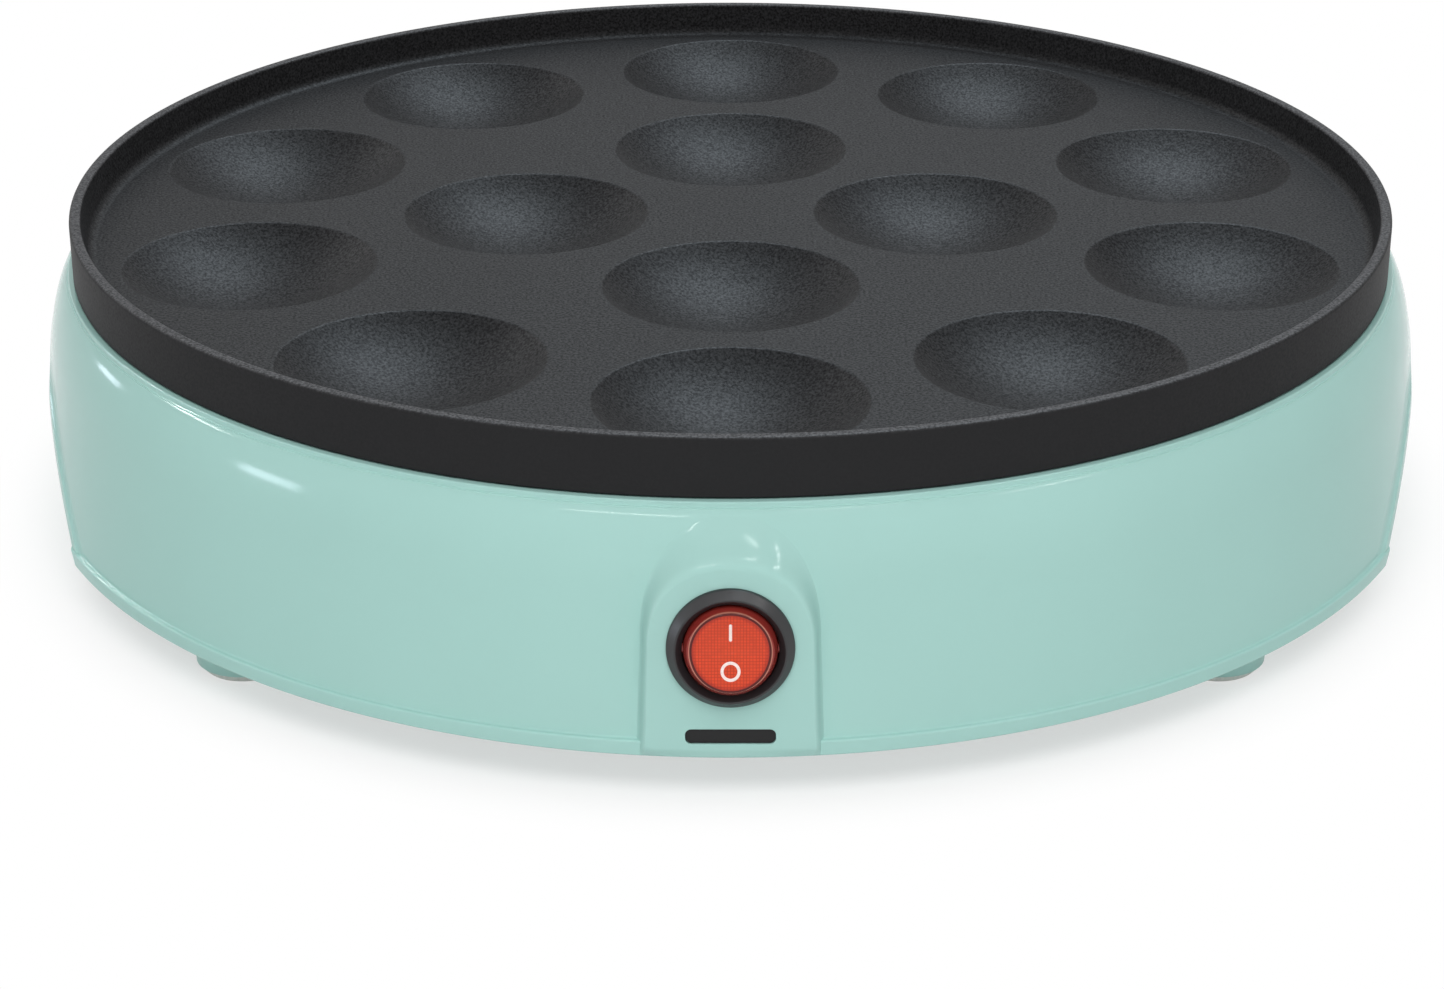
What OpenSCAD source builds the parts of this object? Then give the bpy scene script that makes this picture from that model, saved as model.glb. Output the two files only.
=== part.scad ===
// Mini pancake maker: a cast plate with round wells on a moulded body, with a rocker switch in front.
// Origin on the table under the plate's axis. +Z is up and the switch faces -Y.

/* [Baking plate] */
// Outside radius of the plate's rim
plate_r = 128; // [122:1:136]
// Height of the band outside the rim
band_h = 10.7; // [9.5:0.1:13]
// Width of the rim's flat top
rim_w = 2.2; // [1.6:0.1:3]
// Depth of the tray floor below the rim
tray_d = 6.65; // [5:0.05:7.5]
// Thickness of the casting
plate_t = 3; // [2.4:0.1:3.6]
// Radius of the curve between the tray's wall and floor
tray_fillet = 2; // [1:0.1:3]
// Depth of a well
well_d = 8.5; // [7:0.1:9.5]
// Wells in the outer ring
outer_wells = 10; // [8:2:10]
// Wells in the inner ring
inner_wells = 4; // [3:1:4]
// Flat floor between the outer wells and the tray's wall
well_margin = 5.3; // [4:0.1:7]
// Flat floor between the two rings of wells
ring_land = 7.35; // [6.5:0.05:9]
// Flat floor between neighbours in the inner ring
inner_land = 9.06; // [6:0.02:12]

/* [Body shell] */
// Height of the flange's underside above the table
foot_h = 8; // [5.5:0.1:9]
// Height of the body from the flange's underside to the lip
body_h = 42.7; // [41.5:0.1:50]
// Width of the lip that shows round the plate
lip_w = 1; // [1:0.1:3]
// Height of the lip above the shoulder
lip_step = 1; // [0.6:0.1:1.6]
// Width of the shoulder's curve
shoulder_w = 3.2; // [2.5:0.1:5]
// Height of the shoulder's curve
shoulder_h = 12; // [8:0.5:16]
// Lean of the wall from upright, in degrees
flare = 6.65; // [4:0.05:9]
// Wall thickness of the moulding
wall = 2.5; // [2:0.1:3]
// How far the flange stands out from the wall
flange_out = 1; // [0.6:0.1:2]
// Height of the flange
flange_h = 2.8; // [2:0.1:4]

/* [Side grips] */
// How far each grip's flat face cuts in from the flange
grip_in = 15.9; // [10:0.1:18]
// Lean of a grip's face from upright, in degrees
grip_lean = 21.8; // [15:0.1:28]
// Width of the raised border round a grip
grip_border_w = 1.4; // [0.8:0.1:2.5]
// How far that border stands out of the wall
grip_border_out = 0.6; // [0.3:0.1:1]

/* [Front panel] */
// Height of the arch panel, along its face
arch_h = 35; // [33:0.5:38]
// Half the arch's width at its foot
arch_foot = 16; // [14.5:0.1:22]
// Half the arch's width at its top, before the corners are rounded
arch_top = 14.1; // [13.5:0.1:20]
// Radius of the arch's corners
arch_corner = 13; // [6:0.5:13.5]
// Lean of the panel from upright, in degrees
panel_lean = 2.4; // [0:0.1:4]
// How far the panel's foot stands out of the flange
panel_out = 0.4; // [0.3:0.1:2]
// Width of the slot under the switch
slot_w = 15; // [8:0.5:20]
// Height of the slot
slot_h = 2.7; // [1.6:0.1:3.2]
// Radius of the slot's corners
slot_corner = 1; // [0.4:0.1:1]
// Height of the slot's middle above the panel's foot
slot_up = 4.2; // [3.2:0.1:4.5]

/* [Rocker switch] */
// Height of the switch's middle above the panel's foot
switch_up = 20.3; // [18:0.1:21]
// Outside radius of the bezel
bezel_r = 10.55; // [10:0.05:12]
// Thickness of the bezel
bezel_t = 2; // [1.6:0.1:2.6]
// Width of the bezel's outer bevel
bezel_bevel = 1.7; // [1:0.1:2]
// Radius of the rocker about its pivot
rocker_r = 7.82; // [7:0.02:8]
// Whole turn of the rocker from off to on, in degrees
rocker_turn = 18; // [12:1:20]
// Whole turn of the contact lever, in degrees
lever_turn = 8; // [5:0.5:9]
// Radius of the rocker's trunnions
trunnion_r = 1; // [0.8:0.05:1.2]

/* [Bottom cover and feet] */
// Thickness of the bottom cover
cover_t = 2.5; // [2:0.1:3]
// Radius of a foot
foot_r = 9; // [7:0.5:10]
// Distance of the feet from the axis
foot_ring_r = 123; // [112:1:123]
// Height of rubber that shows under a foot
pad_show = 1.6; // [1:0.1:3]
// Rim of plastic round a rubber pad
pad_rim = 1; // [0.8:0.1:2]

/* [Heating] */
// Radius of the heating element's tube
heater_tube_r = 3.25; // [2.8:0.05:3.4]
// Half the angle left open between the element's ends, in degrees
heater_gap_deg = 12; // [11:1:16]
// Radius of the bend where the element's ends turn down
heater_bend = 6; // [5:0.1:7]
// Thickness of the heat shield
shield_t = 0.8; // [0.6:0.1:1.2]
// Radius of the thermostat's cap
thermostat_r = 8; // [6.5:0.1:8.5]

/* [Cord gland] */
// Radius of the cord's bore
gland_bore_r = 3.4; // [2.5:0.1:3.8]
// Height of the gland's middle above the rear panel's foot
gland_up = 19; // [16:0.5:21]
// How far the gland stands out of the rear panel
gland_out = 4.8; // [3.5:0.1:8]

/* [Hidden] */
$fn = 96;

// Clearances
touch_gap = 0.1;      // parts that press on each other
slip_gap = 0.2;       // a part dropped or pushed into its place
run_gap = 0.05;       // a pin that turns in its bore
cut = 1;              // how far a cutting shape runs past a face
big = 400;            // larger than the object

// Colours
mint = "#A4CDC5";
coating = "#3C3D3F";
black = "#2B2B2D";
rubber = "#D8DBD6";
steel = "#B9BCC0";
brass = "#C9A24C";
ceramic = "#E9E4D8";
red = "#D8522F";

// Heights, from the table up
z_base = foot_h;
z_cover = z_base + cover_t;
z_lip = z_base + body_h;
z_band = z_lip + slip_gap;
z_rim = z_band + band_h;
z_floor = z_rim - tray_d;
z_under = z_floor - plate_t;
z_dome = z_floor - well_d - plate_t;
dome_gap = 0.6;
z_shield = z_dome - dome_gap;
z_ledge = z_shield - shield_t;
ledge_t = 2.6;
z_ceiling = z_ledge - ledge_t;

// Baking plate
band_t = 5;
edge_break = 0.5;
tray_draft = 0.8;
tray_r = plate_r - rim_w - tray_draft;
// the wells fill what the margin and the lands leave of the tray: three radii and the inner ring's own
inner_spread = 1/sin(180/inner_wells);
well_r = (tray_r - well_margin - ring_land - inner_land*inner_spread/2)/(3 + inner_spread);
outer_ring_r = tray_r - well_margin - well_r;
inner_ring_r = outer_ring_r - 2*well_r - ring_land;
well_sphere = (well_r*well_r + well_d*well_d)/(2*well_d);
z_well_centre = z_floor - well_d + well_sphere;
outer_step = 360/outer_wells;
function ring_point(r, a) = [r*cos(a), r*sin(a), 0];
well_points = concat(
  [for (i = [0:outer_wells - 1]) ring_point(outer_ring_r, -90 + outer_step*i)],
  [for (i = [0:inner_wells - 1]) ring_point(inner_ring_r, -90 + 360/inner_wells*i)]);

// Plate screws, in the gaps between the outer wells
screw_gaps = [1, outer_wells/2 - 2, outer_wells/2 + 1, outer_wells - 2];
plate_boss_in = 16;
plate_boss_ring = plate_r - plate_boss_in;
plate_boss_r = 5;
plate_screw_r = 1.95;
plate_screw_grip = 6.5;
plate_head_r = 3.8;
plate_head_h = 2.6;
screw_points = [for (k = screw_gaps) ring_point(plate_boss_ring, -90 + outer_step*(k + 0.5))];
washer_t = 1;
washer_r = 5;

// Body shell
pocket_in = 4;
pocket_r = plate_r - pocket_in;
ledge_hole_r = plate_boss_ring - 9;
lip_r = plate_r + lip_w;
shoulder_over = 0.1;  // the crest of the shoulder's curve that the lip hides
shoulder_start = asin((shoulder_h - shoulder_over)/shoulder_h);
shoulder_steps = 14;
z_shoulder = z_lip - lip_step;
z_flange = z_base + flange_h;
wall_top_r = lip_r + shoulder_w*(1 - cos(shoulder_start));
function wall_r(z) = wall_top_r + (z_shoulder - z)*tan(flare);
base_r = wall_r(z_flange);
flange_r = base_r + flange_out;
panel_y = flange_r + panel_out;
grip_x = flange_r - grip_in;

// Arch panels
arch_lean = atan((arch_foot - arch_top)/arch_h);
arch_drop = wall + cut;
arch_steps = 16;
arch_centre = [arch_foot - (arch_foot - arch_top)*(arch_h - arch_corner)/arch_h - arch_corner/cos(arch_lean),
  arch_h - arch_corner];

// Posts for the cover screws hang from the ledge
post_ring_r = plate_r - 12;
post_r = 4.5;
post_angle = 62;
post_points = [for (s = [1, -1], a = [post_angle, 180 - post_angle]) ring_point(post_ring_r, s*a)];
cover_screw_r = 1.45;
cover_screw_l = 14;
cover_head_r = 3.2;
cover_head_h = 1.5;

// Bottom cover
cover_gap = 0.4;
cover_r = wall_r(z_base) - wall - cover_gap;
cover_x = grip_x - wall/cos(grip_lean) - cover_gap;
foot_points = [for (a = [45, 135, 225, 315]) ring_point(foot_ring_r, a)];
pad_seat = 2;
pad_r = foot_r - pad_rim;
vent_count = 12;
vent_w = 3.6;
vent_l = 24;
vent_ring_r = 45;

// Heating
heater_r = (inner_ring_r + outer_ring_r)/2;
z_heater = z_under - touch_gap - heater_tube_r;
bead_h = z_heater - heater_tube_r - touch_gap - z_shield;
bead_half = 3.4;
bead_slope = 2;
shield_r = pocket_r - 1.5;
leg_l = 14;
z_leg = z_heater - leg_l;
heater_ends = [for (s = [1, -1]) ring_point(heater_r, 90 + s*heater_gap_deg)];
bend_headings = [heater_gap_deg, 180 - heater_gap_deg];
leg_points = [for (i = [0, 1]) heater_ends[i] + ring_point(heater_bend, bend_headings[i])];
leg_hole_r = heater_tube_r + 1;
heater_steps = 6;
heater_rings = 60;
sleeve_l = 3;
pin_r = 1.2;
pin_l = 10;
flange_t = 1;
thermostat_flange_r = thermostat_r + 1.5;
thermostat_hole_r = thermostat_flange_r + 1.5;
thermostat_body_r = thermostat_r - 0.5;
thermostat_body_l = 7;
strap_t = 1;
strap_half = thermostat_hole_r + 6;
strap_w = 2*thermostat_r + 2;
strap_end_r = 4;
strap_screw_r = 1.5;
strap_screw_l = 4.5;
strap_head_r = 2.8;
strap_head_h = 2;
blade_w = 4.8;
blade_t = 0.8;
blade_show = 7;
thermostat_blade_x = 4;
z_strap = z_ledge - strap_t;
z_thermostat_end = z_strap - thermostat_body_l;

// Thermal fuse, under the heat shield
fuse_r = 2.2;
fuse_l = 12;
fuse_cone = 1.2;
clip_t = 0.9;
fuse_in = 10;
fuse_at = [fuse_in - inner_ring_r, inner_ring_r - fuse_in, z_ledge - clip_t - slip_gap - fuse_r];
clip_w = 6;
clip_tab = 9;

// Terminal block, on the bottom cover
block_size = [34, 18, 14];
block_in = 36;
block_y = plate_r - block_in;
way_pitch = 10;
way_r = 2.2;
way_up = 6;
block_screw_r = 1.7;
block_screw_l = block_size[2] - way_up - way_r - 1;
block_groove = [1.6, 2.5];
screw_slot = [0.6, 0.7];

// Earth screw, in a gap between two outer wells
earth_in = 8;
earth_at = ring_point(outer_ring_r - earth_in, 90 - outer_step/2);
earth_screw_r = 1.9;
earth_screw_l = 5;
earth_head_r = 3.6;
earth_head_h = 2.6;
lug_r = 4;
lug_t = 0.8;
lug_barrel_r = 1.6;
lug_barrel_l = 7;
lug_neck = 2;

// Cord gland
gland_flange_r = gland_bore_r + 4.6;
gland_flange_t = 2.2;
gland_barrel_r = gland_bore_r + 2.1;
gland_inside = 12;
nut_t = 4;

// Rocker switch, measured from the panel's face: z is outward and y is up the panel
barrel_wall = 1.05;
cavity_r = rocker_r + 0.13;
barrel_r = cavity_r + barrel_wall;
barrel_l = 14;
back_t = 1.5;
bezel_edge = 0.6;
bezel_dish = 0.7;
pivot_z = -0.2;
trunnion_half = barrel_r;
rocker_valley = 2.9;
rocker_floor = -3.8;
post_of_rocker_r = 2.2;
post_of_rocker_l = 6.2;
plunger_r = 1.1;
lever_seat = 2.3;
lever_pivot_z = back_t - barrel_l + lever_seat;
lever_half = 4.6;
lever_w = 3.2;
lever_t = 0.6;
lever_rise = 0.5;
lever_pivot_r = 0.8;
contact_y = 3.8;
contact_r = 0.9;
contact_t = 0.5;
tip_gap = 0.12;
plunger_reach = pivot_z - (lever_pivot_z + lever_rise + lever_t) - tip_gap;
plunger_bore_top = -2;
spring_l = 2.48;
plunger_l = plunger_reach + plunger_bore_top - spring_l;
blade_out = 8;
lamp_r = 1.5;
lamp_l = 6;
lamp_x = 5;
spade_l = 10;
spade_in = 6;
spade_t = 2.6;
spade_w = blade_w + 1.6;

// Wiring
wire_r = 1.1;
wire_sides = 8;
wire_steps = 5;
lead = 4;             // straight length at a wire's ends

// A point on the front panel's own axes, in the object's frame
function on_panel(x, up, out) = [x,
  -panel_y + up*sin(panel_lean) - out*cos(panel_lean),
  z_base + up*cos(panel_lean) + out*sin(panel_lean)];

// Moves its children onto the front panel
module at_panel(up = 0) {
  translate([0, -panel_y, z_base])
    rotate([90 - panel_lean, 0, 0])
      translate([0, up, 0])
        children();
}

module at_points(points, z = 0) {
  for (p = points)
    translate([p[0], p[1], z]) children();
}

// A flat slot shape with round ends, centred, along X
module stadium(length, width) {
  square([length - width, width], center = true);
  for (s = [-1, 1])
    translate([s*(length - width)/2, 0]) circle(d = width);
}

// A flat rectangle with round corners, centred
module soft_rect(w, h, r) {
  square([w - 2*r, h], center = true);
  square([w, h - 2*r], center = true);
  for (x = [-1, 1], y = [-1, 1])
    translate([x*(w/2 - r), y*(h/2 - r)]) circle(r);
}

// The arch of the front and rear panels, drawn on the panel's face and set in all round
module arch(inset = 0) {
  r = arch_corner - inset;
  right = [for (i = [0:arch_steps]) let (a = arch_lean + (90 - arch_lean)*i/arch_steps)
    arch_centre + r*[cos(a), sin(a)]];
  left = [for (i = [arch_steps:-1:0]) [-right[i][0], right[i][1]]];
  foot_x = arch_foot - inset/cos(arch_lean) + arch_drop*tan(arch_lean);
  polygon(concat([[foot_x, -arch_drop]], right, left, [[-foot_x, -arch_drop]]));
}

// The shell's outside from the lip down to the flange, moved out by grow
function shell_curve(grow = 0) = concat(
  [for (i = [0:shoulder_steps]) let (
      t = shoulder_start*(1 - i/shoulder_steps),
      z = z_shoulder - shoulder_h*(sin(shoulder_start) - sin(t)))
    [wall_r(z) - shoulder_w*(1 - cos(t)) + grow, z]],
  [[wall_r(z_base) + grow, z_base]]);

// The space outside one grip's face, or only a layer of it under that face
module grip_space(inset = 0, layer = big) {
  for (m = [0, 1])
    mirror([m, 0, 0])
      translate([grip_x, 0, z_base])
        rotate([0, grip_lean, 0])
          translate([-inset, -big/2, -big/2])
            cube([layer, big, big]);
}

module shell_outside() {
  difference() {
    union() {
      rotate_extrude()
        polygon(concat([[0, z_lip], [lip_r - edge_break, z_lip], [lip_r, z_lip - edge_break]],
          shell_curve(), [[0, z_base]]));
      // flange
      rotate_extrude()
        polygon([[0, z_base], [flange_r, z_base], [flange_r, z_flange - edge_break],
          [flange_r - edge_break, z_flange], [0, z_flange]]);
      // raised border round each grip
      intersection() {
        rotate_extrude()
          polygon(concat([[0, z_shoulder]], shell_curve(grip_border_out), [[0, z_base]]));
        grip_space(grip_border_w, grip_border_w + cut);
      }
      // front and rear arch panels, whose foot follows the flange
      for (a = [0, 180])
        rotate([0, 0, a])
          intersection() {
            at_panel() translate([0, 0, -panel_y/2]) linear_extrude(panel_y/2) arch();
            translate([-big/2, -big, z_base]) cube([big, big, big]);
            rotate_extrude() polygon([[0, z_base], [flange_r, z_base], [flange_r + body_h, z_lip], [0, z_lip]]);
          }
    }
    grip_space();
  }
}

module shell_inside() {
  difference() {
    union() {
      rotate_extrude()
        polygon([[0, z_ceiling], [wall_r(z_ceiling) - wall, z_ceiling],
          [wall_r(z_base - cut) - wall, z_base - cut], [0, z_base - cut]]);
      for (a = [0, 180])
        rotate([0, 0, a])
          intersection() {
            at_panel() translate([0, 0, -panel_y/2]) linear_extrude(panel_y/2 - wall) arch(wall);
            translate([-big/2, -big, z_base - cut]) cube([big, big, z_ceiling - z_base + cut]);
          }
    }
    grip_space(wall);
  }
}

module body_shell() color(mint) {
  core_in = pocket_r + wall;
  core_top = z_shoulder - wall;
  difference() {
    union() {
      difference() {
        shell_outside();
        shell_inside();
      }
      // posts for the cover screws
      at_points(post_points, z_cover) cylinder(r = post_r, h = z_ceiling - z_cover + cut);
    }
    // pocket for the plate, and the ledge's opening
    translate([0, 0, z_ledge]) cylinder(r = pocket_r, h = big);
    translate([0, 0, z_ceiling - cut]) cylinder(r = ledge_hole_r, h = big);
    // hollow between the pocket's wall and the outer wall
    rotate_extrude()
      polygon([[core_in, z_ceiling - cut], [wall_r(z_ceiling) - wall, z_ceiling - cut],
        [wall_r(z_ceiling) - wall, z_ceiling], [lip_r - wall + edge_break, core_top], [core_in, core_top]]);
    at_points(screw_points, z_ceiling - cut) cylinder(r = plate_screw_r + slip_gap, h = ledge_t + 2*cut);
    at_points(post_points, z_cover - cut) cylinder(r = cover_screw_r + run_gap, h = cover_screw_l + cut);
    at_panel(switch_up) translate([0, 0, -barrel_l]) cylinder(r = barrel_r + slip_gap, h = barrel_l + cut);
    at_panel(slot_up)
      translate([0, 0, -2*wall]) linear_extrude(2*wall + cut) soft_rect(slot_w, slot_h, slot_corner);
    rotate([0, 0, 180])
      at_panel(gland_up) translate([0, 0, -2*wall]) cylinder(r = gland_barrel_r + slip_gap, h = 2*wall + cut);
  }
}

module bottom_cover() color(mint) difference() {
  union() {
    intersection() {
      translate([0, 0, z_base]) cylinder(r = cover_r, h = cover_t);
      translate([-cover_x, -big/2, 0]) cube([2*cover_x, big, big]);
    }
    at_points(foot_points, pad_show) cylinder(r = foot_r, h = z_base - pad_show + cover_t/2);
  }
  at_points(foot_points, pad_show - cut) cylinder(r = pad_r + touch_gap, h = pad_seat + cut);
  at_points(post_points, z_base - cut) {
    cylinder(r = cover_screw_r + slip_gap, h = cover_t + 2*cut);
    cylinder(r = cover_head_r + slip_gap, h = cut + cover_head_h + touch_gap);
  }
  for (i = [0:vent_count - 1])
    rotate([0, 0, 360/vent_count*(i + 0.5)])
      translate([vent_ring_r, 0, z_base - cut])
        linear_extrude(cover_t + 2*cut) stadium(vent_l, vent_w);
}

module foot_pads() color(rubber)
  at_points(foot_points)
    rotate_extrude()
      polygon([[0, 0], [pad_r - edge_break, 0], [pad_r, edge_break], [pad_r, pad_show + pad_seat],
        [0, pad_show + pad_seat]]);

// A pan-head screw pointing up, its head's top face at z = 0
module pan_screw(r, length, head_r, head_h) {
  translate([0, 0, -head_h])
    difference() {
      rotate_extrude()
        polygon([[0, 0], [head_r*0.7, 0], [head_r, head_h*0.55], [head_r, head_h], [0, head_h]]);
      for (a = [0, 90])
        rotate([0, 0, a]) cube([head_r*1.1, head_r*0.24, head_h], center = true);
    }
  cylinder(r = r, h = length);
}

module cover_screws() color(steel)
  at_points(post_points, z_base + cover_head_h + touch_gap)
    pan_screw(cover_screw_r, cover_screw_l - 2, cover_head_r, cover_head_h);

module baking_plate() color(coating) difference() {
  union() {
    rotate_extrude()
      polygon(concat(
        [[0, z_under], [plate_r - band_t, z_under], [plate_r - band_t, z_band], [plate_r, z_band],
          [plate_r, z_rim - edge_break], [plate_r - edge_break, z_rim], [plate_r - rim_w, z_rim]],
        [for (a = [0:15:90]) [tray_r - tray_fillet*(1 - cos(a)), z_floor + tray_fillet*(1 - sin(a))]],
        [[0, z_floor]]));
    // domes under the wells
    at_points(well_points)
      intersection() {
        translate([0, 0, z_well_centre]) sphere(well_sphere + plate_t);
        translate([0, 0, z_dome - cut])
          cylinder(r = well_r + plate_t, h = z_under + plate_t/2 - z_dome + cut);
      }
    // bosses for the plate screws
    at_points(screw_points, z_shield) cylinder(r = plate_boss_r, h = z_under + plate_t/2 - z_shield);
  }
  at_points(well_points, z_well_centre) sphere(well_sphere);
  at_points(screw_points, z_shield - cut) cylinder(r = plate_screw_r + run_gap, h = plate_screw_grip + cut);
}

module plate_washers() color(ceramic)
  at_points(screw_points, z_ceiling - washer_t)
    difference() {
      cylinder(r = washer_r, h = washer_t);
      translate([0, 0, -cut]) cylinder(r = plate_screw_r + slip_gap, h = washer_t + 2*cut);
    }

module plate_screws() color(steel)
  at_points(screw_points, z_ceiling - washer_t)
    pan_screw(plate_screw_r, washer_t + ledge_t + shield_t + plate_screw_grip - cut, plate_head_r,
      plate_head_h);

module heat_shield() color(steel) difference() {
  rotate_extrude()
    polygon([[thermostat_hole_r, z_ledge], [heater_r - bead_half - bead_slope, z_ledge],
      [heater_r - bead_half, z_ledge + bead_h], [heater_r + bead_half, z_ledge + bead_h],
      [heater_r + bead_half + bead_slope, z_ledge], [shield_r, z_ledge], [shield_r, z_shield],
      [heater_r + bead_half + bead_slope, z_shield], [heater_r + bead_half, z_shield + bead_h],
      [heater_r - bead_half, z_shield + bead_h], [heater_r - bead_half - bead_slope, z_shield],
      [thermostat_hole_r, z_shield]]);
  at_points(screw_points, z_ledge - cut) cylinder(r = plate_screw_r + slip_gap, h = shield_t + 2*cut);
  for (i = [0, 1])
    translate([heater_ends[i][0], heater_ends[i][1], z_ledge - cut])
      rotate([0, 0, bend_headings[i]])
        translate([heater_bend/2, 0, 0])
          linear_extrude(bead_h + shield_t + 2*cut) stadium(heater_bend + 2*leg_hole_r, 2*leg_hole_r);
  at_points([earth_at], z_ledge - cut) cylinder(r = earth_screw_r + run_gap, h = shield_t + 2*cut);
  at_points([[strap_half, 0], [-strap_half, 0]], z_ledge - cut)
    cylinder(r = strap_screw_r + run_gap, h = shield_t + 2*cut);
}

// The element runs round the plate, then each end bends down and runs straight
function heater_end(i) = [for (t = [heater_steps:-1:0]) let (a = 90*t/heater_steps)
  heater_ends[i] + ring_point(heater_bend*cos(a), bend_headings[i])
    + [0, 0, z_heater - heater_bend*(1 - sin(a))]];
function reversed(p) = [for (i = [len(p) - 1:-1:0]) p[i]];
module heating_element() color(steel) {
  span = 360 - 2*heater_gap_deg;
  ring = [for (i = [1:heater_rings - 1])
    ring_point(heater_r, 90 + heater_gap_deg + span*i/heater_rings) + [0, 0, z_heater]];
  ends = [for (p = leg_points) p + [0, 0, z_leg]];
  tube(concat([ends[0]], reversed(heater_end(0)), ring, heater_end(1), [ends[1]]), heater_tube_r, 12);
}

module heater_sleeves() color(ceramic)
  at_points(leg_points, z_leg - sleeve_l)
    difference() {
      cylinder(r = heater_tube_r - 0.4, h = sleeve_l);
      translate([0, 0, -cut]) cylinder(r = pin_r + run_gap, h = sleeve_l + 2*cut);
    }

module heater_pins() color(brass)
  at_points(leg_points, z_leg - pin_l) cylinder(r = pin_r, h = pin_l);

module thermostat() color(ceramic) {
  rotate_extrude()
    polygon([[0, z_thermostat_end], [thermostat_body_r, z_thermostat_end], [thermostat_body_r, z_ledge],
      [thermostat_flange_r, z_ledge], [thermostat_flange_r, z_ledge + flange_t],
      [thermostat_r, z_ledge + flange_t], [thermostat_r, z_under - touch_gap], [0, z_under - touch_gap]]);
  for (s = [-1, 1])
    translate([s*thermostat_blade_x - blade_t/2, -blade_w/2, z_thermostat_end - blade_show])
      cube([blade_t, blade_w, blade_show + cut]);
}

module thermostat_strap() color(steel)
  translate([0, 0, z_strap])
    linear_extrude(strap_t)
      difference() {
        union() {
          stadium(2*(strap_half + strap_end_r), 2*strap_end_r);
          circle(d = strap_w + 2);
        }
        circle(r = thermostat_body_r + slip_gap);
        for (s = [-1, 1])
          translate([s*strap_half, 0]) circle(r = strap_screw_r + run_gap);
      }

module strap_screws() color(steel)
  at_points([[strap_half, 0], [-strap_half, 0]], z_strap)
    pan_screw(strap_screw_r, strap_screw_l, strap_head_r, strap_head_h);

module thermal_fuse() color(ceramic)
  translate(fuse_at)
    rotate([-90, 0, 0])
      rotate_extrude()
        polygon([[0, 0], [fuse_r/2, 0], [fuse_r, fuse_cone], [fuse_r, fuse_l - fuse_cone], [fuse_r/2, fuse_l],
          [0, fuse_l]]);

module fuse_clip() color(steel)
  translate(fuse_at)
    translate([0, fuse_l/2 - clip_w/2, 0])
      rotate([-90, 0, 0])
        linear_extrude(clip_w)
          difference() {
            union() {
              circle(r = fuse_r + touch_gap + clip_t);
              translate([0, -(z_ledge - fuse_at[2])]) square([clip_tab + fuse_r, clip_t]);
            }
            circle(r = fuse_r + touch_gap);
          }

module terminal_block() color(ceramic)
  translate([0, block_y, z_cover])
    difference() {
      translate([-block_size[0]/2, -block_size[1]/2, 0]) cube(block_size);
      for (i = [-1:1])
        translate([i*way_pitch, 0, 0]) {
          translate([0, block_size[1]/2 + cut, way_up])
            rotate([90, 0, 0]) cylinder(r = way_r, h = block_size[1] + 2*cut);
          for (s = [-1, 1])
            translate([0, s*block_size[1]/4, way_up])
              cylinder(r = block_screw_r + run_gap, h = block_size[2]);
        }
      for (s = [-1, 1])
        translate([s*way_pitch/2, 0, block_size[2]])
          cube([block_groove[0], block_size[1] + cut, 2*block_groove[1]], center = true);
    }

module terminal_screws() color(brass)
  for (i = [-1:1], s = [-1, 1])
    translate([i*way_pitch, block_y + s*block_size[1]/4, z_cover + way_up + way_r])
      difference() {
        cylinder(r = block_screw_r, h = block_screw_l);
        translate([0, 0, block_screw_l])
          cube([2*block_screw_r, screw_slot[0], 2*screw_slot[1]], center = true);
      }

module earth_screw() color(brass)
  at_points([earth_at], z_ledge - lug_t) pan_screw(earth_screw_r, earth_screw_l, earth_head_r, earth_head_h);

module earth_lug() color(steel)
  translate([earth_at[0], earth_at[1], z_ledge - lug_t]) {
    difference() {
      union() {
        cylinder(r = lug_r, h = lug_t);
        translate([-lug_barrel_r, -lug_r - lug_neck, 0]) cube([2*lug_barrel_r, lug_r + lug_neck, lug_t]);
      }
      translate([0, 0, -cut]) cylinder(r = earth_screw_r + slip_gap, h = lug_t + 2*cut);
    }
    translate([0, -lug_r - lug_neck, lug_t - lug_barrel_r])
      rotate([90, 0, 0]) cylinder(r = lug_barrel_r, h = lug_barrel_l);
  }

// Gland and nut are drawn on the rear panel
module at_gland() {
  rotate([0, 0, 180]) at_panel(gland_up) children();
}

module cord_gland() color(black)
  at_gland()
    rotate_extrude()
      polygon([[gland_bore_r, -gland_inside - wall], [gland_barrel_r, -gland_inside - wall],
        [gland_barrel_r, 0], [gland_flange_r, 0], [gland_flange_r, gland_flange_t - edge_break],
        [gland_flange_r - edge_break, gland_flange_t], [gland_barrel_r + 1, gland_flange_t],
        [gland_barrel_r, gland_out], [gland_bore_r, gland_out]]);

module gland_nut() color(black)
  at_gland()
    translate([0, 0, -wall - nut_t])
      difference() {
        cylinder(r = gland_flange_r + 0.5, h = nut_t, $fn = 6);
        translate([0, 0, -cut]) cylinder(r = gland_barrel_r + run_gap, h = nut_t + 2*cut);
      }

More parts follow.
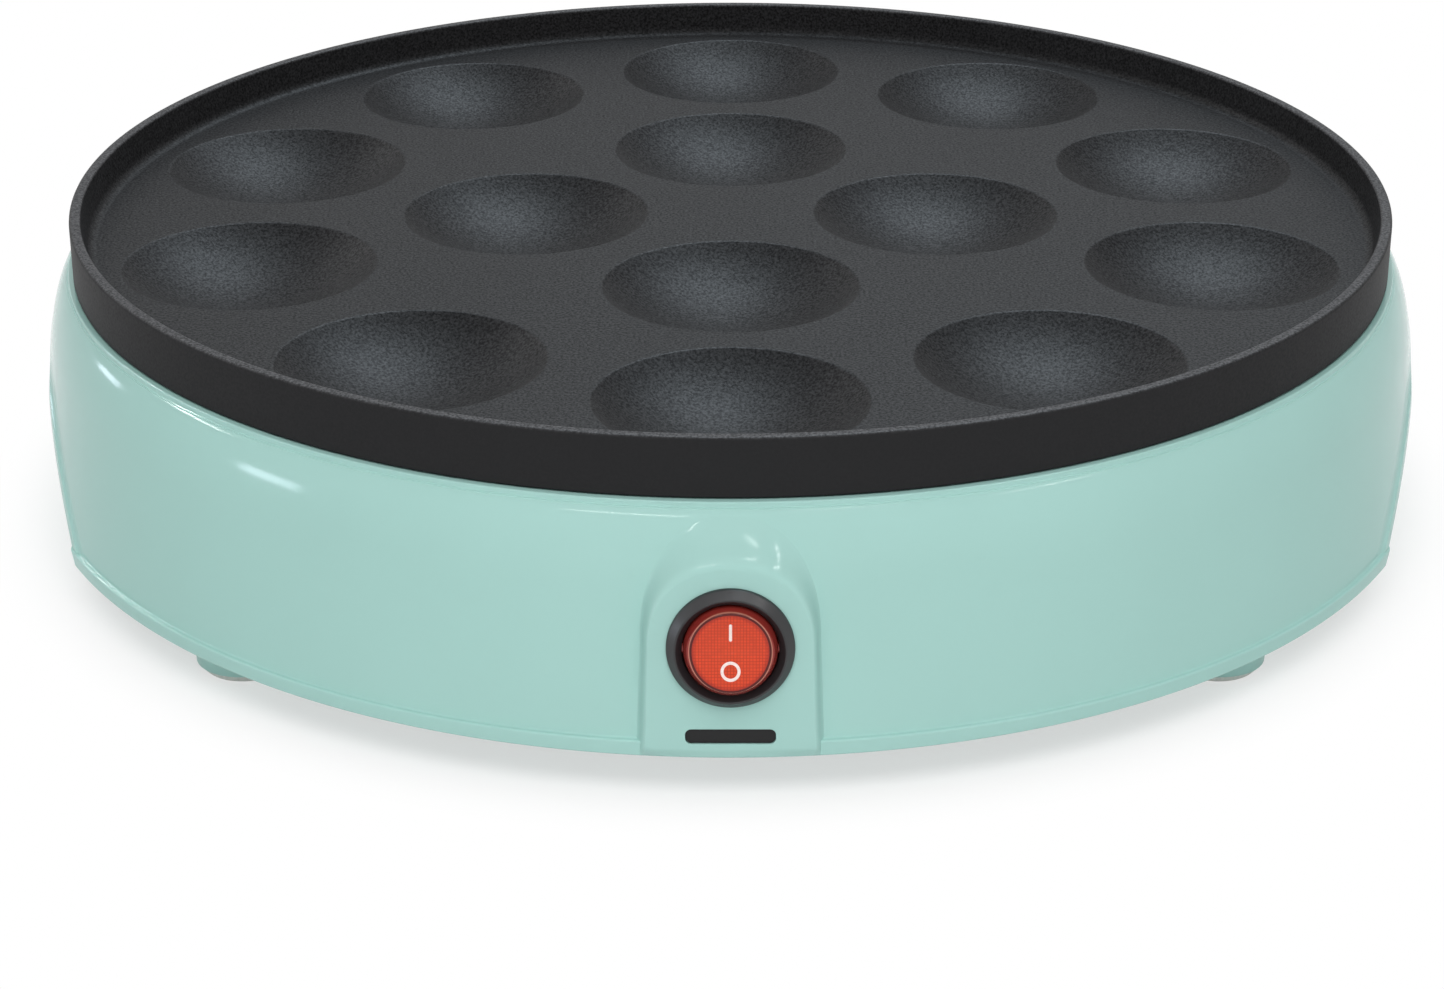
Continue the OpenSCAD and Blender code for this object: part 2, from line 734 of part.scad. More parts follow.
module switch_housing() color(black) at_panel(switch_up) {
  lug_len = 3.4;
  lug_out = 0.9;
  difference() {
    union() {
      rotate_extrude()
        polygon([[0, -barrel_l], [barrel_r, -barrel_l], [barrel_r, 0], [bezel_r, 0], [bezel_r, bezel_edge],
          [bezel_r - bezel_bevel, bezel_t], [cavity_r, bezel_t - bezel_dish], [0, bezel_t - bezel_dish]]);
      // snap lugs behind the panel
      for (s = [-1, 1])
        scale([1, s, 1])
          translate([-2, 0, -wall - touch_gap])
            rotate([90, 0, 90])
              linear_extrude(4)
                polygon([[cavity_r + 0.2, 0], [barrel_r + slip_gap + lug_out, 0], [barrel_r, -lug_len],
                  [cavity_r + 0.2, -lug_len]]);
    }
    translate([0, 0, back_t - barrel_l]) cylinder(r = cavity_r, h = big);
    for (s = [0, 1])
      mirror([s, 0, 0])
        translate([rocker_r - 1, 0, pivot_z])
          rotate([0, 90, 0]) cylinder(r = trunnion_r + run_gap, h = trunnion_half - rocker_r + 1 + slip_gap);
    for (y = [-contact_y, 0, contact_y])
      translate([0, y, -barrel_l])
        cube([blade_w + 2*touch_gap, blade_t + 2*touch_gap, 3*back_t], center = true);
  }
}

module blade(y, top) {
  translate([-blade_w/2, y - blade_t/2, -barrel_l - blade_out])
    cube([blade_w, blade_t, top + barrel_l + blade_out]);
}

contact_drop = (contact_y + contact_r)*sin(lever_turn/2) + tip_gap;
saddle_top = lever_pivot_z - lever_pivot_r*0.3;
saddle_bottom = lever_pivot_z - lever_pivot_r - 0.9;
module switch_blades() color(brass) at_panel(switch_up) {
  fixed_top = lever_pivot_z + lever_rise - contact_t - contact_drop;
  // middle blade with the lever's saddle
  difference() {
    union() {
      blade(0, saddle_bottom + touch_gap);
      translate([-lever_w/2, -1.3, saddle_bottom]) cube([lever_w, 2.6, saddle_top - saddle_bottom]);
    }
    translate([-lever_w, 0, lever_pivot_z])
      rotate([0, 90, 0]) cylinder(r = lever_pivot_r + touch_gap, h = 2*lever_w);
  }
  // lower blade with the fixed contact
  blade(-contact_y, fixed_top - contact_t);
  translate([0, -contact_y, fixed_top - contact_t]) cylinder(r = contact_r, h = contact_t);
  // upper blade, for the lamp
  blade(contact_y, fixed_top - 2*contact_t);
}

module neon_lamp() color("#F2B48C")
  at_panel(switch_up)
    translate([lamp_x, 0, back_t - barrel_l]) {
      cylinder(r = lamp_r, h = lamp_l - lamp_r);
      translate([0, 0, lamp_l - lamp_r]) sphere(r = lamp_r);
    }

// Turns its children about an axis across the switch, to their rest position, which is on as in the photo
module at_rest(z, angle) {
  at_panel(switch_up) translate([0, 0, z]) rotate([angle, 0, 0]) children();
}

module contact_lever() color(brass)
  at_rest(lever_pivot_z, lever_turn/2) {
    translate([-lever_w/2, -lever_half, lever_rise]) cube([lever_w, 2*lever_half, lever_t]);
    translate([-lever_w/2, -lever_pivot_r*0.8, 0]) cube([lever_w, lever_pivot_r*1.6, lever_rise + lever_t/2]);
    translate([-lever_w/2, 0, 0]) rotate([0, 90, 0]) cylinder(r = lever_pivot_r, h = lever_w);
    translate([0, -contact_y, lever_rise - contact_t]) cylinder(r = contact_r, h = contact_t + lever_t/2);
  }

module rocker() color(red) at_rest(pivot_z, -rocker_turn/2) {
  difference() {
    union() {
      intersection() {
        sphere(r = rocker_r);
        // shallow valley across the face, flat underneath
        rotate([90, 0, 90])
          translate([0, 0, -rocker_r])
            linear_extrude(2*rocker_r)
              polygon([[-rocker_r, rocker_floor], [rocker_r, rocker_floor],
                [rocker_r, rocker_valley + rocker_r*tan(rocker_turn/2)], [0, rocker_valley],
                [-rocker_r, rocker_valley + rocker_r*tan(rocker_turn/2)]]);
      }
      translate([-trunnion_half, 0, 0]) rotate([0, 90, 0]) cylinder(r = trunnion_r, h = 2*trunnion_half);
      translate([0, 0, -post_of_rocker_l]) cylinder(r = post_of_rocker_r, h = post_of_rocker_l);
    }
    translate([0, 0, -post_of_rocker_l - cut])
      cylinder(r = plunger_r + run_gap, h = post_of_rocker_l + cut + plunger_bore_top);
  }
}

module plunger() color(steel) at_rest(pivot_z, -rocker_turn/2)
  translate([0, 0, plunger_r - plunger_reach]) {
    sphere(r = plunger_r);
    cylinder(r = plunger_r, h = plunger_l - plunger_r);
  }

// A round tube along a list of points, closed at both ends
module tube(path, r, sides) {
  n = len(path);
  function along(i) = let (d = path[min(i + 1, n - 1)] - path[max(i - 1, 0)]) d/norm(d);
  function across(d) = let (c = cross(d, [0.31, 0.47, 0.83])) c/norm(c);
  points = [for (i = [0:n - 1]) let (d = along(i), u = across(d), v = cross(d, u))
    for (k = [0:sides - 1]) path[i] + r*(cos(360*k/sides)*u + sin(360*k/sides)*v)];
  walls = [for (i = [0:n - 2], k = [0:sides - 1]) let (
      a = i*sides + k, b = i*sides + (k + 1)%sides)
    each [[a, a + sides, b], [b, a + sides, b + sides]]];
  ends = [[for (k = [0:sides - 1]) k], [for (k = [sides - 1:-1:0]) (n - 1)*sides + k]];
  polyhedron(points, concat(walls, ends), convexity = 6);
}

// A smooth curve through a list of points, straight in its first and last stretches
function blend(a, b, c, d, t) = 0.5*(2*b + (c - a)*t + (2*a - 5*b + 4*c - d)*t*t
  + (3*b - a - 3*c + d)*t*t*t);
function smooth(p, steps) = let (n = len(p)) concat([p[0]],
  [for (i = [1:n - 3], j = [0:steps - 1]) blend(p[i - 1], p[i], p[i + 1], p[i + 2], j/steps)],
  [p[n - 2], p[n - 1]]);

module wire(path, tint) {
  color(tint) tube(smooth(path, wire_steps), wire_r, wire_sides);
}

spring_turns = 4;
spring_wire_r = 0.18;
spring_coil_r = plunger_r - spring_wire_r - run_gap;
module plunger_spring() color(steel) {
  low = plunger_l - plunger_reach + spring_wire_r + run_gap;
  high = plunger_bore_top - spring_wire_r - run_gap;
  steps = 12*spring_turns;
  coil = [for (i = [0:steps]) let (a = 360*spring_turns*i/steps)
    [spring_coil_r*cos(a), spring_coil_r*sin(a), low + (high - low)*i/steps]];
  at_rest(pivot_z, -rocker_turn/2) tube(coil, spring_wire_r, 6);
}

// An insulated sleeve pushed on a blade whose end is at z = 0 and which points down
module spade() {
  difference() {
    translate([-spade_w/2, -spade_t/2, spade_in - spade_l]) cube([spade_w, spade_t, spade_l]);
    translate([-blade_w/2 - touch_gap, -blade_t/2 - touch_gap, 0])
      cube([blade_w + 2*touch_gap, blade_t + 2*touch_gap, spade_in + cut]);
  }
}

thermostat_spade_end = z_thermostat_end - blade_show + spade_in - spade_l;
switch_spade_end = spade_in - spade_l - barrel_l - blade_out;
module spade_sleeves() color(rubber) {
  for (y = [-contact_y, 0])
    at_panel(switch_up) translate([0, y, -barrel_l - blade_out]) spade();
  for (s = [-1, 1])
    translate([s*thermostat_blade_x, 0, z_thermostat_end - blade_show]) rotate([0, 0, 90]) spade();
}

// Black strip in the slot, held from behind by its wider back
strip_sunk = 0.3;
strip_back = 1;
strip_back_t = 0.9;
module slot_insert() color(black) at_panel(slot_up) {
  translate([0, 0, -wall - touch_gap - strip_back_t])
    linear_extrude(strip_back_t)
      soft_rect(slot_w + 2*strip_back, slot_h + 2*strip_back, slot_corner + strip_back);
  translate([0, 0, -wall - touch_gap - strip_back_t/2])
    linear_extrude(wall + touch_gap + strip_back_t/2 - strip_sunk)
      soft_rect(slot_w - 2*touch_gap, slot_h - 2*touch_gap, slot_corner);
}

// Where the wires begin and end, and the rings that they follow
switch_live = on_panel(0, switch_up, switch_spade_end);
switch_live_lead = on_panel(0, switch_up, switch_spade_end - lead);
switch_out = on_panel(0, switch_up - contact_y, switch_spade_end);
switch_out_lead = on_panel(0, switch_up - contact_y, switch_spade_end - lead);
thermostat_in = [-thermostat_blade_x, 0, thermostat_spade_end];
thermostat_out = [thermostat_blade_x, 0, thermostat_spade_end];
pin_left = leg_points[0] + [0, 0, z_leg - pin_l];
pin_right = leg_points[1] + [0, 0, z_leg - pin_l];
z_way = z_cover + way_up;
block_front = block_y - block_size[1]/2;
block_lead = block_front - lead;
lug_end = [earth_at[0], earth_at[1] - lug_r - lug_neck - lug_barrel_l, z_ledge - lug_barrel_r];
fuse_end = fuse_at + [0, fuse_l, 0];
wide_run_r = heater_r - lead;
near_run_r = inner_ring_r + lead;
function low_point(r, a) = ring_point(r, a) + [0, 0, z_way];
function between(a, b) = (a + b)/2;

module live_wire() wire([[-way_pitch, block_front, z_way], [-way_pitch, block_lead, z_way],
  low_point(wide_run_r, 128), low_point(wide_run_r, 180), low_point(wide_run_r, 234),
  switch_live_lead + lead*[-2, 3, -1], switch_live_lead, switch_live], "#6B3A22");

module switched_wire() wire([switch_out, switch_out_lead, switch_out_lead + lead*[2, 4, -1],
  low_point(near_run_r, -68), thermostat_in + lead*[-1, -3, -1.6], thermostat_in + lead*[0, 0, -1],
  thermostat_in], "#222222");

module fuse_wire() wire([thermostat_out, thermostat_out + lead*[0, 0, -1],
  thermostat_out + lead*[-1, 3, -1.5], between(thermostat_out, fuse_at) + lead*[-3, 1, 0],
  fuse_at + lead*[0, -1, 0], fuse_at], "#C8B08A");

module heater_wire() wire([fuse_end, fuse_end + lead*[0, 1, 0], between(fuse_end, pin_left),
  pin_left + lead*[-2, -1, -1], pin_left + lead*[0, 0, -1], pin_left], "#C8B08A");

module neutral_wire() wire([pin_right, pin_right + lead*[0, 0, -1],
  between(pin_right, [0, block_lead, z_way]) + lead*[0, 0, -0.8], [0, block_lead, z_way],
  [0, block_front, z_way]], "#3D62A8");

module earth_wire() wire([[way_pitch, block_front, z_way], [way_pitch, block_lead, z_way],
  between([way_pitch, block_lead, z_way], lug_end) + lead*[0, -2, 0], lug_end + lead*[0, -1, 0], lug_end],
  "#6E9A3A");

body_shell();
bottom_cover();
foot_pads();
cover_screws();
baking_plate();
plate_screws();
plate_washers();
heat_shield();
heating_element();
heater_sleeves();
heater_pins();
thermostat();
thermostat_strap();
strap_screws();
thermal_fuse();
fuse_clip();
terminal_block();
terminal_screws();
earth_screw();
earth_lug();
cord_gland();
gland_nut();
switch_housing();
switch_blades();
neon_lamp();
contact_lever();
rocker();
plunger();
plunger_spring();
slot_insert();
spade_sleeves();
live_wire();
switched_wire();
fuse_wire();
heater_wire();
neutral_wire();
earth_wire();
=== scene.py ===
import math
import bpy
import bmesh
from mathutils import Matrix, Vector


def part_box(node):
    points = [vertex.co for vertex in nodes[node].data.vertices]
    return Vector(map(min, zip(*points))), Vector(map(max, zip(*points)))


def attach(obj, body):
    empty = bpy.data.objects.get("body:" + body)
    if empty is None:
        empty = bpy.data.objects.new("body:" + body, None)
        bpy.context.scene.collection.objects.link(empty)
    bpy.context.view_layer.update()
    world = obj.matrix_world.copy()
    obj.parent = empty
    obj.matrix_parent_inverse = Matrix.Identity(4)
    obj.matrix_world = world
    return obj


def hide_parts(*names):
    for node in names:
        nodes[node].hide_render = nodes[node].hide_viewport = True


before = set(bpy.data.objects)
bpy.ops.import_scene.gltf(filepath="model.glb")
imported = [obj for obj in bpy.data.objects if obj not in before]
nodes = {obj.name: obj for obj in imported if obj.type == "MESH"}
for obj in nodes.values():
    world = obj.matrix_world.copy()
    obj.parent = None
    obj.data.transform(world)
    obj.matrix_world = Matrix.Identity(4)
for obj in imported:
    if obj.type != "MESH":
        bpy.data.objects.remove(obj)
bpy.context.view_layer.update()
scene = bpy.context.scene
mm = 0.001
halvings = 40  # steps of a search by halves
cutSlack = 1e-7  # how near a cut a point counts as on it, in metres
print("frame loaded:", len(nodes), "nodes")


# small helpers

def tint(code, share=1.0):  # sRGB hex to linear, times a share
    parts = [int(code[i:i + 2], 16) / 255 for i in (1, 3, 5)]
    linear = [p / 12.92 if p <= 0.04045 else ((p + 0.055) / 1.055) ** 2.4 for p in parts]
    return [min(1, c * share) for c in linear] + [1]


def addNode(tree, kind, inputs=None, **settings):
    node = tree.nodes.new(kind)
    for key, value in settings.items():
        setattr(node, key, value)
    for key, value in (inputs or {}).items():
        if isinstance(value, bpy.types.NodeSocket):
            tree.links.new(value, node.inputs[key])
        else:
            node.inputs[key].default_value = value
    return node


def perMm(size):  # texture scale for a pattern of that size, as coordinates are in metres
    return 1000 / size


def startMaterial(name):
    material = bpy.data.materials.new(name)
    material.use_nodes = True
    material.node_tree.nodes.clear()
    return material, material.node_tree


def setRamp(ramp, stops):  # colour stops as (place, colour)
    while len(ramp.elements) < len(stops):
        ramp.elements.new(0.5)
    for stop, (place, colour) in zip(ramp.elements, stops):
        stop.position = place
        stop.color = colour


def ease(t):  # smooth step from 0 to 1
    t = min(1, max(0, t))
    return t * t * (3 - 2 * t)


def circle(r, count, up=0.0):
    return [(r * math.cos(2 * math.pi * k / count), up + r * math.sin(2 * math.pi * k / count))
            for k in range(count)]


def arc(cx, cz, r, start, end, steps):  # points on a circle, in degrees
    turns = [math.radians(start + (end - start) * i / steps) for i in range(steps + 1)]
    return [(cx + r * math.cos(a), cz + r * math.sin(a)) for a in turns]


def inFrame(x, y, z):
    return Vector((x, y, z)) * mm


def joinRings(mesh, rings, closed=True):  # faces between neighbouring rings of points
    for a, b in zip(rings, rings[1:]):
        count = len(a)
        for k in range(count if closed else count - 1):
            j = (k + 1) % count
            corners = []
            for v in (a[k], a[j], b[j], b[k]):
                if v not in corners:
                    corners.append(v)
            if len(corners) > 2:
                mesh.faces.new(corners)


def revolve(mesh, profile, count, place):
    # turns (radius, height) points round the local z axis; place puts a local point in the frame
    rings = []
    for radius, height in profile:
        if radius < 1e-6:
            rings.append([mesh.verts.new(place(0, 0, height))] * count)
        else:
            rings.append([mesh.verts.new(place(x, y, height)) for x, y in circle(radius, count)])
    joinRings(mesh, rings)
    return rings


def makePiece(name, mesh, material, body, node=None, sharp=38, weld=0.004):
    bmesh.ops.remove_doubles(mesh, verts=mesh.verts, dist=weld * mm)
    bmesh.ops.recalc_face_normals(mesh, faces=mesh.faces)
    for face in mesh.faces:
        face.smooth = True
    for edge in mesh.edges:
        edge.smooth = len(edge.link_faces) == 2 and edge.calc_face_angle(0) < math.radians(sharp)
    data = bpy.data.meshes.new(name)
    mesh.to_mesh(data)
    mesh.free()
    data.materials.append(material)
    piece = bpy.data.objects.new(name, data)
    scene.collection.objects.link(piece)
    even = piece.modifiers.new("evenNormals", "WEIGHTED_NORMAL")
    even.keep_sharp = True
    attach(piece, body)
    if node:
        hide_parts(node)
    return piece


# sizes of the outside in mm: heights and plate from the frame, the rest as on the part

shellBox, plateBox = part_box("body_shell"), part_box("baking_plate")
shell = dict(zBase=shellBox[0].z / mm, zLip=shellBox[1].z / mm, lipR=129.0, lipStep=1.0, lipEdge=0.3,
             shoulderW=3.2, shoulderH=12.0, shoulderStart=82.6, flare=6.65,
             flangeOut=1.0, flangeH=2.8, flangeEdge=0.38, flangeRow=1.4, fillet=0.3, wall=2.5,
             panelOut=0.4, panelLean=2.4, gripX=121.42, gripLean=21.8, insideR=126.0, insideH=2.1,
             groove=((0.0, 0.22), (0.03, 0.08), (0.14, -0.02), (0.3, -0.04)),  # out from the lip, up
             crownStart=0.93, crownRows=36, wallRows=18, columns=480,
             inside=((134.2, 0.0), (133.9, 0.3), (133.5, 7.6)))  # radius, height over the base
plate = dict(r=plateBox[1].x / mm, zRim=plateBox[1].z / mm, bandGap=0.2, bandEdge=0.4, bandRow=4.7,
             trayD=6.65, rimW=2.2, rimEdge=0.55, rimInside=0.5, trayR=125.0, fillet=2.0, thick=3.0,
             footR=123.0, wellR=24.0, wellD=8.5, wellSoft=0.95, margin=5.3, outerCount=10, innerCount=4,
             innerR=40.35, columns=288, wellColumns=96, domeColumns=48)
zBase, zLip = shell["zBase"], shell["zLip"]
zShoulder = zLip - shell["lipStep"]
startTurn = math.radians(shell["shoulderStart"])
wallTop = shell["lipR"] + shell["shoulderW"] * (1 - math.cos(startTurn))
flareTan = math.tan(math.radians(shell["flare"]))
zFlange = zBase + shell["flangeH"]
flangeR = wallTop + (zShoulder - zFlange) * flareTan + shell["flangeOut"]
panelY = flangeR + shell["panelOut"]
leanSin, leanCos = math.sin(math.radians(shell["panelLean"])), math.cos(math.radians(shell["panelLean"]))
gripTilt = math.radians(shell["gripLean"])


def wallRadius(z):  # outside of the shell without flange, panels and grips
    r = wallTop + (zShoulder - z) * flareTan
    fall = shell["shoulderH"] * math.sin(startTurn) - (zShoulder - z)
    if fall > 0:
        r -= shell["shoulderW"] * (1 - math.cos(math.asin(min(1, fall / shell["shoulderH"]))))
    return r


def onPanel(x, up, out, back=False):  # a point on the front or rear panel's own axes, in metres
    y = -panelY + up * leanSin - out * leanCos
    z = zBase + up * leanCos + out * leanSin
    return Vector((-x, -y, z) if back else (x, y, z)) * mm


switch = dict(up=20.3, bezelR=10.55, bezelT=2.0, crestR=9.1, crestEdge=0.3, cavityR=7.95,
              mouth=((0.0, 0.75), (0.12, 0.98)),  # out from the cavity, up
              skirt=((0.16, 0.8), (0.03, 0.6), (0.0, 0.4), (0.0, 0.0)),  # in from the bezel's edge, up
              barrelR=9.0, barrelL=14.0, holeGap=0.2, floor=-12.5, rockerR=7.82, pivot=-0.2, valley=2.9,
              valleySoft=0.8, valleyShare=0.6, flats=9.0, restTilt=-9.0, lensR=6.25, edgeR=6.75, columns=128)
restTilt = math.radians(switch["restTilt"])


def atSwitch(x, y, z):  # switch axes: y up the panel, z out of it
    return onPanel(x, switch["up"] + y, z)


def atRocker(x, y, z):  # rocker axes, turned about its pivot as at rest
    c, s = math.cos(restTilt), math.sin(restTilt)
    return atSwitch(x, y * c - z * s, switch["pivot"] + y * s + z * c)


rockerCentre = atRocker(0, 0, switch["valley"])
rockerUp = (atRocker(0, 1, 0) - atRocker(0, 0, 0)).normalized()
print("sizes ready")


# materials

def mouldedPlastic(name, colour, roughness, gloss, waveMm, waveDepth, dustMm=0.6):
    # injection-moulded plastic: even colour, a skin gloss and the faint long waves that shrinkage leaves
    material, tree = startMaterial(name)
    where = addNode(tree, "ShaderNodeTexCoord").outputs["Object"]
    wave = addNode(tree, "ShaderNodeTexNoise", {"Vector": where, "Scale": perMm(waveMm), "Detail": 1.0})
    fine = addNode(tree, "ShaderNodeTexNoise", {"Vector": where, "Scale": perMm(dustMm), "Detail": 2.0})
    tone = addNode(tree, "ShaderNodeMix", {
        0: wave.outputs[0], 6: tint(colour, 0.975), 7: tint(colour, 1.025)}, data_type="RGBA")
    dull = addNode(tree, "ShaderNodeMapRange", {"Value": fine.outputs[0], "From Min": 0.3, "From Max": 0.7,
                                                "To Min": roughness * 0.88, "To Max": roughness * 1.15})
    bump = addNode(tree, "ShaderNodeBump", {"Height": wave.outputs[0], "Strength": 0.25,
                                            "Distance": waveDepth * mm})
    shader = addNode(tree, "ShaderNodeBsdfPrincipled", {
        "Base Color": tone.outputs[2], "Roughness": dull.outputs[0], "Normal": bump.outputs[0], "IOR": 1.53,
        "Specular IOR Level": gloss})
    addNode(tree, "ShaderNodeOutputMaterial", {"Surface": shader.outputs[0]})
    return material


mintGloss = mouldedPlastic("mint ABS, moulded gloss", "#A9D3CC", 0.11, 0.14, 30, 0.05)
mintSatin = mouldedPlastic("mint ABS, moulded satin", "#A3CEC7", 0.38, 0.3, 12, 0.05)
# painted shade: the slot insert is a darker matt black that stands for the dark inside of the vent slot
slotShade = mouldedPlastic("vent slot shade, painted matt black", "#171718", 0.5, 0.3, 4, 0.03, 0.25)
blackNylon = mouldedPlastic("black nylon, moulded satin", "#222224", 0.38, 0.5, 4, 0.03, 0.25)


# grain and cloud sizes, grain depth and where the band and the rim's painted highlight begin in mm; low and
# high are the ends of the grain's pattern, rimHighlight is how much lighter the painted highlight makes the
# rim's top
coat = dict(grain=0.5, depth=0.05, cloud=22, low=0.36, high=0.66, bandFrom=0.4, bandTo=0.02,
            highlightFrom=0.5, highlightTo=0.1, rimHighlight=3.4, shineLow=0.03, shineHigh=0.072)


def sprayedCoating(name, colour, band, roughness):
    # non-stick coating sprayed on die-cast aluminium: nearly black, with a sandy grain that catches low
    # light, drawn at 0.5 mm, coarser than real, so that it shows; smoother on the turned band, and with a
    # painted highlight that makes the rim's top lighter
    material, tree = startMaterial(name)
    where = addNode(tree, "ShaderNodeTexCoord").outputs["Object"]
    grain = addNode(tree, "ShaderNodeTexNoise", {
        "Vector": where, "Scale": perMm(coat["grain"]), "Detail": 2.5, "Roughness": 0.65})
    cloud = addNode(tree, "ShaderNodeTexNoise", {
        "Vector": where, "Scale": perMm(coat["cloud"]), "Detail": 2.0})
    apart = addNode(tree, "ShaderNodeSeparateXYZ", {0: where})
    flat = addNode(tree, "ShaderNodeCombineXYZ", {0: apart.outputs[0], 1: apart.outputs[1]})
    out = addNode(tree, "ShaderNodeVectorMath", {0: flat.outputs[0]}, operation="LENGTH")
    sandy = addNode(tree, "ShaderNodeMapRange", {
        "Value": out.outputs["Value"], "From Min": (plate["r"] - coat["bandFrom"]) * mm,
        "From Max": (plate["r"] - coat["bandTo"]) * mm, "To Min": 1.0, "To Max": 0.0})
    # painted highlight: the rim's top is painted up to this many times lighter, by height alone
    rimHighlight = addNode(tree, "ShaderNodeMapRange", {
        "Value": apart.outputs[2], "From Min": (plate["zRim"] - coat["highlightFrom"]) * mm,
        "From Max": (plate["zRim"] - coat["highlightTo"]) * mm, "To Min": 1.0, "To Max": coat["rimHighlight"]})
    speck = addNode(tree, "ShaderNodeValToRGB", {"Fac": grain.outputs[0]})
    setRamp(speck.color_ramp, [(coat["low"], tint(colour, 0.5)), (coat["high"], tint(colour, 1.7))])
    mottle = addNode(tree, "ShaderNodeMapRange", {"Value": cloud.outputs[0], "To Min": 0.9, "To Max": 1.1})
    lighter = addNode(tree, "ShaderNodeMath", {0: mottle.outputs[0], 1: rimHighlight.outputs[0]},
                      operation="MULTIPLY")
    shade = addNode(tree, "ShaderNodeVectorMath", {0: speck.outputs[0], 1: lighter.outputs[0]},
                    operation="MULTIPLY")
    blend = addNode(tree, "ShaderNodeMix", {0: sandy.outputs[0], 6: tint(band), 7: shade.outputs[0]},
                    data_type="RGBA")
    bump = addNode(tree, "ShaderNodeBump", {"Height": grain.outputs[0], "Strength": sandy.outputs[0],
                                            "Distance": coat["depth"] * mm})
    shine = addNode(tree, "ShaderNodeMapRange", {  # each grain's own shine
        "Value": grain.outputs[0], "From Min": coat["low"], "From Max": coat["high"],
        "To Min": coat["shineLow"], "To Max": coat["shineHigh"]})
    shader = addNode(tree, "ShaderNodeBsdfPrincipled", {
        "Base Color": blend.outputs[2], "Roughness": roughness, "Normal": bump.outputs[0], "IOR": 1.42,
        "Specular IOR Level": shine.outputs[0]})
    addNode(tree, "ShaderNodeOutputMaterial", {"Surface": shader.outputs[0]})
    return material


plateCoating = sprayedCoating("non-stick coating, sprayed sandy", "#222223", "#2B2B2C", 0.49)


def clearRed(name):
    # tinted polycarbonate cap over a ribbed lens: bright inside with a fine square grid, then a dark gap
    # of painted shade, a pale line where the cap's edge catches the light, and a darker clear wall
    rib, span = 0.52, 10  # size of the grid and reach of the colour ramp in mm
    material, tree = startMaterial(name)
    where = addNode(tree, "ShaderNodeTexCoord").outputs["Object"]
    offset = addNode(tree, "ShaderNodeVectorMath", {0: where, 1: rockerCentre}, operation="SUBTRACT")
    across = addNode(tree, "ShaderNodeSeparateXYZ", {0: offset.outputs[0]})
    along = addNode(tree, "ShaderNodeVectorMath", {0: offset.outputs[0], 1: rockerUp},
                    operation="DOT_PRODUCT")
    flat = addNode(tree, "ShaderNodeCombineXYZ", {0: across.outputs[0], 1: along.outputs["Value"]})
    grid = addNode(tree, "ShaderNodeTexBrick", {
        "Vector": flat.outputs[0], "Scale": perMm(rib), "Mortar Size": 0.11, "Mortar Smooth": 0.5,
        "Brick Width": 1.0, "Row Height": 1.0, "Color1": (1, 1, 1, 1), "Color2": (0.9, 0.9, 0.9, 1),
        "Mortar": (0.6, 0.6, 0.6, 1)}, offset=0.0)
    away = addNode(tree, "ShaderNodeVectorMath", {0: flat.outputs[0]}, operation="LENGTH")
    reach = addNode(tree, "ShaderNodeMapRange", {"Value": away.outputs["Value"], "From Min": 0.0,
                                                 "From Max": span * mm})
    glow = addNode(tree, "ShaderNodeValToRGB", {"Fac": reach.outputs[0]})
    lens, edge = switch["lensR"] / span, switch["edgeR"] / span
    # painted shade in the dark gap and a painted highlight on the cap's edge, both set as stops of this ramp
    setRamp(glow.color_ramp, [(0.0, tint("#E24A22")), (lens - 0.06, tint("#DE4420")), (lens, tint("#B8301A")),
                              (lens + 0.012, tint("#4A0C08")), (edge - 0.008, tint("#5A120C")),
                              (edge, tint("#BE7C68")), (edge + 0.006, tint("#BE7C68")),
                              (edge + 0.014, tint("#90302A")), (1.0, tint("#6A1C18"))])
    shade = addNode(tree, "ShaderNodeVectorMath", {0: glow.outputs[0], 1: grid.outputs[0]},
                    operation="MULTIPLY")
    inside = addNode(tree, "ShaderNodeMapRange", {"Value": reach.outputs[0], "From Min": lens - 0.01,
                                                  "From Max": lens + 0.01})
    colour = addNode(tree, "ShaderNodeMix", {0: inside.outputs[0], 6: shade.outputs[0], 7: glow.outputs[0]},
                     data_type="RGBA")
    bump = addNode(tree, "ShaderNodeBump", {"Height": grid.outputs[0], "Strength": 0.15,
                                            "Distance": 0.02 * mm})
    shader = addNode(tree, "ShaderNodeBsdfPrincipled", {
        "Base Color": colour.outputs[2], "Roughness": 0.16, "Normal": bump.outputs[0], "IOR": 1.58,
        "Specular IOR Level": 0.3})
    addNode(tree, "ShaderNodeOutputMaterial", {"Surface": shader.outputs[0]})
    return material


def metal(name, colour, roughness, grainMm, relief=0.02):
    # plain or plated metal: fine grains from rolling, drawing or plating that break up its shine, drawn
    # coarser than real
    material, tree = startMaterial(name)
    where = addNode(tree, "ShaderNodeTexCoord").outputs["Object"]
    grain = addNode(tree, "ShaderNodeTexNoise", {"Vector": where, "Scale": perMm(grainMm), "Detail": 3.0})
    tone = addNode(tree, "ShaderNodeValToRGB", {"Fac": grain.outputs[0]})
    setRamp(tone.color_ramp, [(0.3, tint(colour, 0.86)), (0.7, tint(colour, 1.1))])
    dull = addNode(tree, "ShaderNodeMapRange", {"Value": grain.outputs[0], "From Min": 0.3, "From Max": 0.7,
                                                "To Min": roughness * 0.8, "To Max": roughness * 1.25})
    bump = addNode(tree, "ShaderNodeBump", {"Height": grain.outputs[0], "Strength": 0.3,
                                            "Distance": relief * mm})
    shader = addNode(tree, "ShaderNodeBsdfPrincipled", {
        "Base Color": tone.outputs[0], "Roughness": dull.outputs[0], "Normal": bump.outputs[0],
        "Metallic": 1.0})
    addNode(tree, "ShaderNodeOutputMaterial", {"Surface": shader.outputs[0]})
    return material


